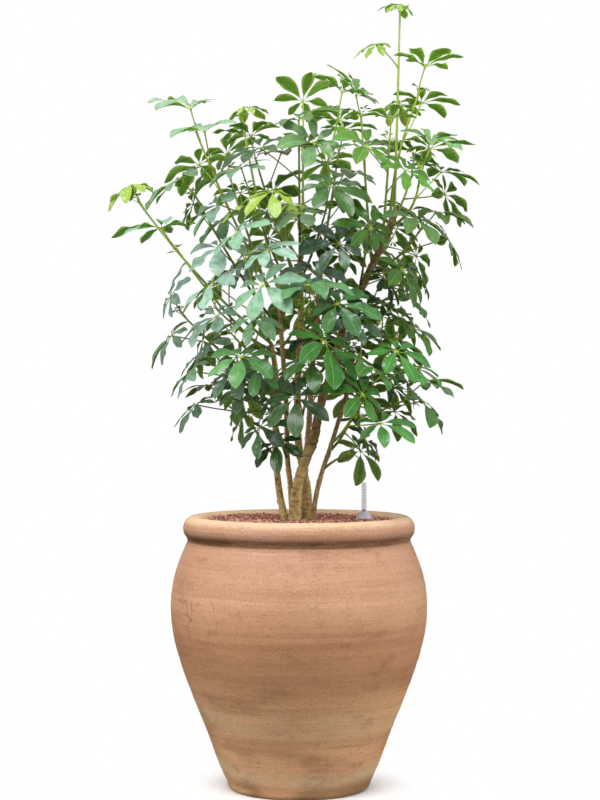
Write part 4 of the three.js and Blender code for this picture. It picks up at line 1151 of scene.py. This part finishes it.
def stem_surface(name, seed):
    """A stem: circles carried along its curve, with bark relief added to the radius.

    The relief is the sum of slow lumps, cracks along the stem, and leaf scars: narrow raised rings at
    uneven distances, each strong on one side. Knots stand out where leaves and shoots were. The upper
    end closes in a rounded stub, and the foot swells where it meets the granulate. The marks say how
    deep a point lies, how far up the stem, and how near the stub.
    """
    low, high, *route = STEMS[name]
    route = np.array(route, float)
    fine = np.linspace(0, 1, 400)
    steps = np.linalg.norm(np.diff(catmull(route, fine, True), axis=0), axis=1)
    run = np.concatenate([[0], np.cumsum(steps)])
    length = run[-1]
    distance = np.linspace(0, length, int(length / RING_STEP))
    share = np.interp(distance, run, fine)
    path = catmull(route, share, True)
    radii = low + (high - low) * np.sqrt(share)
    radii = radii * np.sqrt(np.clip((length - distance) / 9 + 0.02, 0, 1))
    radii = radii * (1 + 0.16 * np.exp(-distance / 14))

    rng = np.random.default_rng(seed)
    scars = np.cumsum(rng.uniform(9, 26, 60))
    scars = scars[scars < length - 10]
    scar_turns = rng.uniform(0, 1, len(scars))
    knots = np.cumsum(rng.uniform(28, 75, 30))
    knots = knots[knots < length - 15]
    knot_turns = rng.uniform(0, 1, len(knots))

    turn = np.arange(STEM_SIDES)[None, :] / STEM_SIDES
    s = distance[:, None]
    relief = 0.6 * ripple(s / 20 + 1, turn, 3, seed + 1) + 0.4 * ripple(s / 13 + 1, turn, 8, seed + 2)
    relief = relief + 0.22 * ripple(s / 3.5 + 1, turn, 10, seed + 3)
    for spot, side in zip(scars, scar_turns):
        angle = 2 * math.pi * (turn - side)
        ring = spot + 2.4 * np.sin(angle) + 0.8 * ripple(s * 0 + spot, turn, 7, seed + 4)
        strong = 0.6 + 0.4 * np.cos(angle)
        relief = relief + strong * np.exp(-(((s - ring) / 2.2) ** 2))
        relief = relief - strong * 0.9 * np.exp(-(((s - ring - 4.6) / 2.0) ** 2))
    for spot, side in zip(knots, knot_turns):
        off = np.abs((turn - side + 0.5) % 1 - 0.5) * 2 * math.pi
        relief = relief + 2.2 * np.exp(-(((s - spot) / 5) ** 2) - (off / 0.5) ** 2)
    relief = relief * np.clip(radii[:, None] / 8, 0.3, 1.1)

    path = np.vstack([path[0] - [0, 0, BURIED], path[0] - [0, 0, 8], path])
    radii = np.concatenate([[low * 0.9, radii[0]], radii])
    relief = np.vstack([relief[:1], relief[:1], relief])
    made = sweep(path, radii, STEM_SIDES, dent=lambda turn: 1 + relief / np.maximum(radii[:, None], 1))
    deep = np.append(np.clip(relief.ravel() / 1.1, -1, 1), [0, 0])
    climb, worn = distance / 600, smoothstep(distance, length - 4, length)
    climb, worn = (np.append(np.repeat([0, 0, *m], STEM_SIDES), [0, 1]) for m in (climb, worn))
    made.marks = np.stack([deep, climb, worn], -1)
    return made


# ---------- Leaves ----------
BLADE = np.array(
    [(0, 0.05), (0.08, 0.18), (0.19, 0.44), (0.33, 0.72), (0.47, 0.92), (0.6, 1),
     (0.72, 0.95), (0.83, 0.76), (0.92, 0.45), (0.975, 0.17), (1, 0.015)]
)  # how far along a leaflet, and its half width there
ROWS, OUTLINE = np.maximum(catmull(BLADE, np.linspace(0, 1, 21), True), [0, 0.015]).T
COLUMNS = np.array([-1.0, -0.5, 0.0, 0.5, 1.0])
PETIOLULE = 0.12  # the leaflet's own stalk, as a share of the way to its tip
STALK_LOOK = 2  # a shoot's finishes are its blades' tops, their undersides and its stalks


def leaflet_line(leaf, t):
    """The leaflets' centre lines: quadratic curves from the hub through the widest point to the tip."""
    hub, middle, tip = leaf["hub"], leaf["middle"], leaf["tip"]
    m = WIDEST
    control = (middle - hub * (1 - m) ** 2 - tip * m**2) / (2 * m * (1 - m))
    t = np.asarray(t)[None, :, None]
    c, e = control[:, None], tip[:, None]
    points = hub * (1 - t) ** 2 + c * 2 * t * (1 - t) + e * t**2
    forward = unit((c - hub) * 2 * (1 - t) + (e - c) * 2 * t)
    return points, forward


def blades(leaf, rng, depth, pale_and_sheen, youth):
    """The leaflets' blades as thin closed shells over a grid of rows along and columns across.

    A point is centre line + c w across + lift above, where w follows OUTLINE. The lift folds the
    halves up from the midrib and waves the margins, and a twist turns across and above along the
    blade. The shell is thickest at the midrib, and its two sides share the points of the margin.
    """
    points, forward = leaflet_line(leaf, PETIOLULE + (0.985 - PETIOLULE) * ROWS)
    count, rows, columns = len(points), len(ROWS), len(COLUMNS)
    each, pair = (count, 1, 1), (count, 1, 2)
    length = leaf["length"][:, :, None]
    along = ROWS[None, :, None]
    c = COLUMNS[None, None, :]
    twist = rng.uniform(-0.28, 0.28, each) * (along - 0.2)
    wide = leaf["width"][:, None] * np.ones((1, rows, 1))
    high = np.cross(forward, wide)
    across = wide * np.cos(twist) + high * np.sin(twist)
    above = high * np.cos(twist) - wide * np.sin(twist)
    half = HALF_WIDTH * length * OUTLINE[None, :, None] * rng.uniform(0.74, 0.98, each)
    fold = rng.uniform(-0.08, 0.5, each)
    # Each side of the midrib has a wave of its own.
    side = (COLUMNS > 0).astype(int)
    phase = rng.uniform(0, 2 * math.pi, pair)[:, :, side]
    beat = rng.uniform(1.1, 2.5, pair)[:, :, side]
    size = rng.uniform(0.010, 0.042, each) * length
    wave = np.sin(2 * math.pi * along * beat + phase)
    lift = fold * np.abs(c) * half + size * np.abs(c) ** 1.5 * wave * np.sqrt(OUTLINE)[None, :, None]
    grid = points[:, :, None] + across[:, :, None] * (half * c)[..., None]
    grid = grid + above[:, :, None] * lift[..., None]
    thick = (0.45 * (1 - np.abs(COLUMNS)) + 0.05)[None, None, :, None] * above[:, :, None]
    border = np.zeros((rows, columns), bool)
    border[[0, -1]] = True
    border[:, [0, -1]] = True
    top = np.where(border[None, :, :, None], grid, grid + thick)
    under = (grid - thick)[:, ~border]

    cells = rows * columns
    lower = np.arange(cells).reshape(rows, columns)
    lower[~border] = cells + np.arange((~border).sum())
    quads = net(rows, columns, False)
    halves = np.concatenate([quads[:, [0, 1, 2]], quads[:, [0, 2, 3]]])
    # A triangle with all its corners on the margin would be the same on both sides.
    halves = halves[~border.ravel()[halves].all(1)]
    per = cells + (~border).sum()
    shift = per * np.arange(count)[:, None, None]
    top_faces = (halves[None, :, ::-1] + shift).reshape(-1, 3)
    under_faces = (lower.ravel()[halves][None] + shift).reshape(-1, 3)
    points = np.concatenate([top.reshape(count, -1, 3), under], 1)
    uv = np.stack(np.broadcast_arrays((COLUMNS + 1) / 2, ROWS[:, None]), -1)
    uv = np.concatenate([uv.reshape(-1, 2), uv[~border]])
    tint = np.clip(rng.normal(depth, 0.2) + rng.normal(0, 0.1, (count, 1)), 0, 1) * np.ones((1, per))
    marks = np.stack([tint, np.full_like(tint, pale_and_sheen), np.full_like(tint, youth)], -1)
    made = Surface(points, [top_faces, under_faces], marks.reshape(-1, 3), np.tile(uv, (count, 1)))
    made.looks = [np.zeros(len(top_faces), int), np.ones(len(under_faces), int)]
    return made


def green(path, radii, sides, age):
    """A stalk, hub or bud of one age: a circle carried along a path."""
    return sweep(path, radii, sides, marks=(min(age, 1), 0, 0), look=STALK_LOOK)


def leaf_stalks(leaf, rng, age):
    """The leaf's stalk, a little bowed and thicker at both ends, its hub, and the leaflets' own stalks."""
    foot, head = leaf["stalk"]
    t = np.linspace(0, 1, 9)
    sideways = unit(np.cross(head - foot, rng.normal(size=3)))
    length = np.linalg.norm(head - foot)
    path = foot + (head - foot) * t[:, None] + sideways * (0.022 * length * np.sin(math.pi * t))[:, None]
    radii = STALK_RADIUS * (0.92 + 0.9 * np.exp(-t * 12) + 0.25 * np.exp(-(1 - t) * 10))
    marks = np.stack([age + 0.25 * t, t * 0, t * 0], -1)
    parts = [sweep(path, radii, 8, marks=np.clip(marks, 0, 1), look=STALK_LOOK)]
    a = np.radians(np.linspace(-90, 90, 7))[:, None]
    knob = leaf["hub"] + leaf["normal"] * (2.1 * np.sin(a) - 0.6)
    parts.append(green(knob, 2.5 * np.cos(a[:, 0]) + 0.05, 10, age + 0.35))
    points, _ = leaflet_line(leaf, [0.0, 0.05, 0.1, 0.15, 0.24])
    slim = np.array([0.95, 0.72, 0.68, 0.6, 0.3])
    for line in points:
        line[1:] -= leaf["normal"] * np.array([0.2, 0.3, 0.35, 0.45])[:, None]
        parts.append(green(line, slim, 5, age + 0.3))
    return parts


def tip_bud(shoot, rng):
    """The growing tip: a pointed bud, and a few tiny folded leaflets on short stalks round it."""
    _, control, end = shoot["curve"]
    axis = unit(end - control)
    across = unit(np.cross(axis, [0.3, 1.0, 0.2]))
    beside = np.cross(axis, across)
    t = np.linspace(0, 1, 6)
    point = end + axis * (t * rng.uniform(9, 15))[:, None]
    parts = [green(point, 1.9 * (1 - t) ** 0.7 + 0.1, 7, 0.95)]
    for k in range(3):
        turn = 2.2 * k + rng.uniform(0, 1)
        lean = rng.uniform(0.35, 0.8)
        sideways = across * math.cos(turn) + beside * math.sin(turn)
        direction = unit(axis * math.cos(lean) + sideways * math.sin(lean))
        hub = end + direction * rng.uniform(8, 17)
        bow = unit(direction + sideways * 0.6 - UP * 0.1)
        s = np.linspace(0, 1, 5)[:, None]
        parts.append(green(end + (hub - end) * s, np.linspace(0.9, 0.6, 5), 5, 1))
        flank = unit(np.cross(bow, direction + [0.01, 0.02, 0.03]))
        size = rng.uniform(13, 21)
        turns = np.array([-0.9, 0.0, 0.9])[:, None]
        first = bow * np.cos(turns) + flank * np.sin(turns)
        width = flank * np.cos(turns) - bow * np.sin(turns)
        lengths = size * np.array([[0.8], [1.0], [0.85]])
        middle = hub + first * WIDEST * lengths
        tip = middle + unit(first - UP * 0.5) * (1 - WIDEST) * lengths
        small = {"hub": hub, "width": width * 0.9, "length": lengths, "middle": middle, "tip": tip}
        parts.append(blades(small, rng, 0.5, 0.0, 1.0))
    return parts


def shoot_surface(shoot):
    """A whole leafy shoot: its bent green axis with low joints where leaves leave, and all its leaves.

    Leaves are paler in a patch left of the middle and at the left and upper edges, partly pale leaves
    and partly painted sheen and light, fresher high up, and painted darker inside the crown as its shade.
    """
    rng = np.random.default_rng(500 + shoot["index"])
    young = {"mature": 0.15, "fresh": 0.5, "young": 0.85}[shoot["tone"]]
    t = np.linspace(0, 1, 34)
    path = bend(*shoot["curve"], t)
    radii = 0.88 * (SHOOT_RADIUS[0] + (SHOOT_RADIUS[1] - SHOOT_RADIUS[0]) * t)
    for k in range(9):
        radii = radii * (1 + 0.16 * np.exp(-(((t - (0.97 - 0.11 * k)) / 0.012) ** 2)))
    age = np.clip(young - 0.35 + t * 0.75, 0, 1)
    parts = [sweep(path, radii, 10, marks=np.stack([age, t * 0, t * 0], -1), look=STALK_LOOK)]
    for leaf in shoot["leaves"]:
        x, y, z = leaf["hub"]
        # A pale patch left of the middle and paler left and upper edges: partly pale leaves, partly painted
        # sheen and light where the light falls.
        bloom_and_sheen = 0.9 * math.exp(-(((x + 110) / 130) ** 2) - ((z - 1000) / 140) ** 2) * smoothstep(-y, -30, 50)
        outer = 0.45 * float(smoothstep(-x, 40, 200)) + 0.2 * float(smoothstep(z, 1150, 1300))
        pale_and_sheen = np.clip(bloom_and_sheen + outer + rng.uniform(-0.25, 0.15), 0, 1)
        youth = np.clip(float(smoothstep(z, 950, 1500)) + rng.uniform(-0.3, 0.3), 0, 1)
        # Painted shade: leaves nearer the plant's axis get a darker tint, as the shade inside the crown.
        from_axis = math.hypot(x - PLANT_AXIS[0], y - PLANT_AXIS[1])
        depth = -0.05 + 0.85 * min(from_axis / 280, 1)
        parts.append(blades(leaf, rng, depth, pale_and_sheen, youth))
        parts += leaf_stalks(leaf, rng, min(young + 0.2, 0.9))
    parts += tip_bud(shoot, rng)
    return joined(parts)


# ---------- Stage ----------
def add_stage():
    """A pale floor that fades out round the pot, an evenly white surround, and soft lamps."""
    reach = 4000
    corners = [(-reach, -reach, 0), (reach, -reach, 0), (reach, reach, 0), (-reach, reach, 0)]
    f = Finish("floor", Roughness=0.9, Specular_IOR_Level=0.1)
    looked_at = f.node("ShaderNodeLightPath").outputs["Is Camera Ray"]
    f.wear(f.mix(looked_at, (0.55, 0.55, 0.55, 1), (0.92, 0.92, 0.92, 1)))
    distance = f.vector_maths("LENGTH", f.place(), output="Value")
    clear = f.node("ShaderNodeBsdfTransparent")
    blend = f.node("ShaderNodeMixShader")
    f.put(blend.inputs[0], f.between(distance, 0.12, 0.25))
    f.put(blend.inputs[1], f.shader.outputs[0])
    f.put(blend.inputs[2], clear.outputs[0])
    f.put(f.tree.nodes["Material Output"].inputs["Surface"], blend.outputs[0])
    made = add_piece("floor", Surface(corners, [[[0, 1, 2, 3]]]), [f.material])
    made.parent = None

    world = bpy.data.worlds.new("studio")
    bpy.context.scene.world = world
    world.use_nodes = True
    nodes, links = world.node_tree.nodes, world.node_tree.links
    seen, lit = nodes["Background"], nodes.new("ShaderNodeBackground")
    seen.inputs["Strength"].default_value = 1.0
    seen.inputs["Color"].default_value = (1, 1, 1, 1)
    # The surround lights from above most: 1.1 from the zenith, 0.25 from the horizon, 0.06 from below.
    way, ramp = nodes.new("ShaderNodeSeparateXYZ"), nodes.new("ShaderNodeValToRGB")
    links.new(nodes.new("ShaderNodeTexCoord").outputs["Generated"], way.inputs[0])
    half = nodes.new("ShaderNodeMath")
    half.operation = "MULTIPLY_ADD"
    half.inputs[1].default_value = half.inputs[2].default_value = 0.5
    links.new(way.outputs[2], half.inputs[0])
    links.new(half.outputs[0], ramp.inputs[0])
    ramp.color_ramp.elements.new(0.5)
    for stop, at, level in zip(ramp.color_ramp.elements, (0.2, 0.55, 1.0), (0.06, 0.25, 1.1)):
        stop.position = at
        stop.color = (level, level, level, 1)
    links.new(ramp.outputs[0], lit.inputs["Color"])
    lit.inputs["Strength"].default_value = 1.0
    path, mix = nodes.new("ShaderNodeLightPath"), nodes.new("ShaderNodeMixShader")
    links.new(path.outputs["Is Camera Ray"], mix.inputs[0])
    links.new(lit.outputs[0], mix.inputs[1])
    links.new(seen.outputs[0], mix.inputs[2])
    links.new(mix.outputs[0], nodes["World Output"].inputs["Surface"])
    add_softbox("lamp_above", (-0.65, -2.1, 5.0), (0, 0, 0.8), size=2.9, power=220)
    add_softbox("lamp_front", (-0.5, -3.6, 2.0), (0, 0, 0.7), size=1.6, power=32)
    add_softbox("lamp_left", (-3.0, -0.7, 0.7), (0, 0, 0.4), size=2.0, power=32)
    add_softbox("lamp_right", (3.0, -0.8, 0.8), (0, 0, 0.4), size=2.0, power=50)


# ---------- The model ----------
add_camera()
bpy.context.scene.view_settings.view_transform = "Standard"
add_stage()

clay = terracotta()
thrown = lathe(pot_profile(), POT_SIDES, throwing_lines)
add_piece("pot_thrown", thrown, [clay], stands_for=["pot"], crease=60)
bed = granulate_bed()
add_piece("granulate_bed", bed, [clay_bed()], stands_for=["clay_granulate"])
granules = clay_pebble()
main_layer = pebbles(seed=11, spacing=4.2, rise=2.0, taken=1.0)
loose_layer = pebbles(seed=12, spacing=4.6, rise=4.2, taken=0.55)
add_piece("granulate_pebbles", main_layer, [granules])
add_piece("granulate_loose", loose_layer, [granules])

grey = plastic("gauge_grey", shade(198, 197, 206), 0.3)
clear = plastic("gauge_clear", shade(180, 180, 186), 0.2, Alpha=0.24)
red = plastic("gauge_red", shade(176, 34, 14), 0.35)
for name, made, finish, body, slot in (
    ("gauge_body", gauge_body(), grey, "planted_pot", "gauge_grey"),
    ("gauge_tube", gauge_tube(), clear, "planted_pot", "gauge_clear"),
    ("gauge_float", gauge_float(), red, "water_float", "gauge_red"),
):
    made.points = made.points + GAUGE
    add_piece(name + "_turned", made, [finish], body=body, stands_for=[name], crease=35)
yellow = plastic("gauge_marks", shade(255, 224, 110), 0.5)
for name, height, radius in (
    ("gauge_mark_high", MARK_HEIGHTS[0], TUBE_RADIUS),
    ("gauge_mark_low", MARK_HEIGHTS[1], TUBE_RADIUS + 0.5),
):
    add_piece(name, gauge_mark(height, MARK_TALL, radius, MARK_FACING), [yellow])

wood = bark()
for seed, name in enumerate(STEMS):
    stem = stem_surface(name, 40 + 10 * seed)
    add_piece("bark_" + name, stem, [wood], stands_for=["stem_" + name])

# For each tone: the blade's top (deep, light, pale bloom and painted sheen, midrib), its underside
# (plain, midrib) and its stalk (old, new).
TONES = {
    "mature": (
        [(3, 28, 4), (52, 102, 28), (152, 188, 172), (126, 162, 88)],
        [(96, 128, 62), (150, 170, 96)],
        [(92, 100, 46), (160, 180, 72)],
    ),
    "fresh": (
        [(16, 76, 24), (74, 144, 54), (156, 190, 174), (170, 206, 118)],
        [(112, 158, 70), (176, 200, 110)],
        [(116, 138, 48), (176, 204, 72)],
    ),
    "young": (
        [(108, 144, 24), (146, 178, 46), (176, 200, 96), (200, 214, 110)],
        [(150, 178, 50), (196, 208, 106)],
        [(118, 142, 48), (162, 188, 78)],
    ),
}
looks = {}
for tone, tables in TONES.items():
    top, under, stalk = ([shade(*rgb) for rgb in table] for table in tables)
    looks[tone] = [
        blade_top("leaf_" + tone, *top),
        blade_under("leaf_under_" + tone, *under),
        green_stalk("stalk_" + tone, *stalk),
    ]
lowest, highest = (np.array(corner) / MM for corner in solid_box)
for shoot in grow_plant():
    slot = "leaf_" + shoot["tone"]
    leafy = shoot_surface(shoot)
    leafy.points = np.clip(leafy.points, lowest, highest)
    add_piece("leafy_" + shoot["name"], leafy, looks[shoot["tone"]], stands_for=[shoot["name"]])
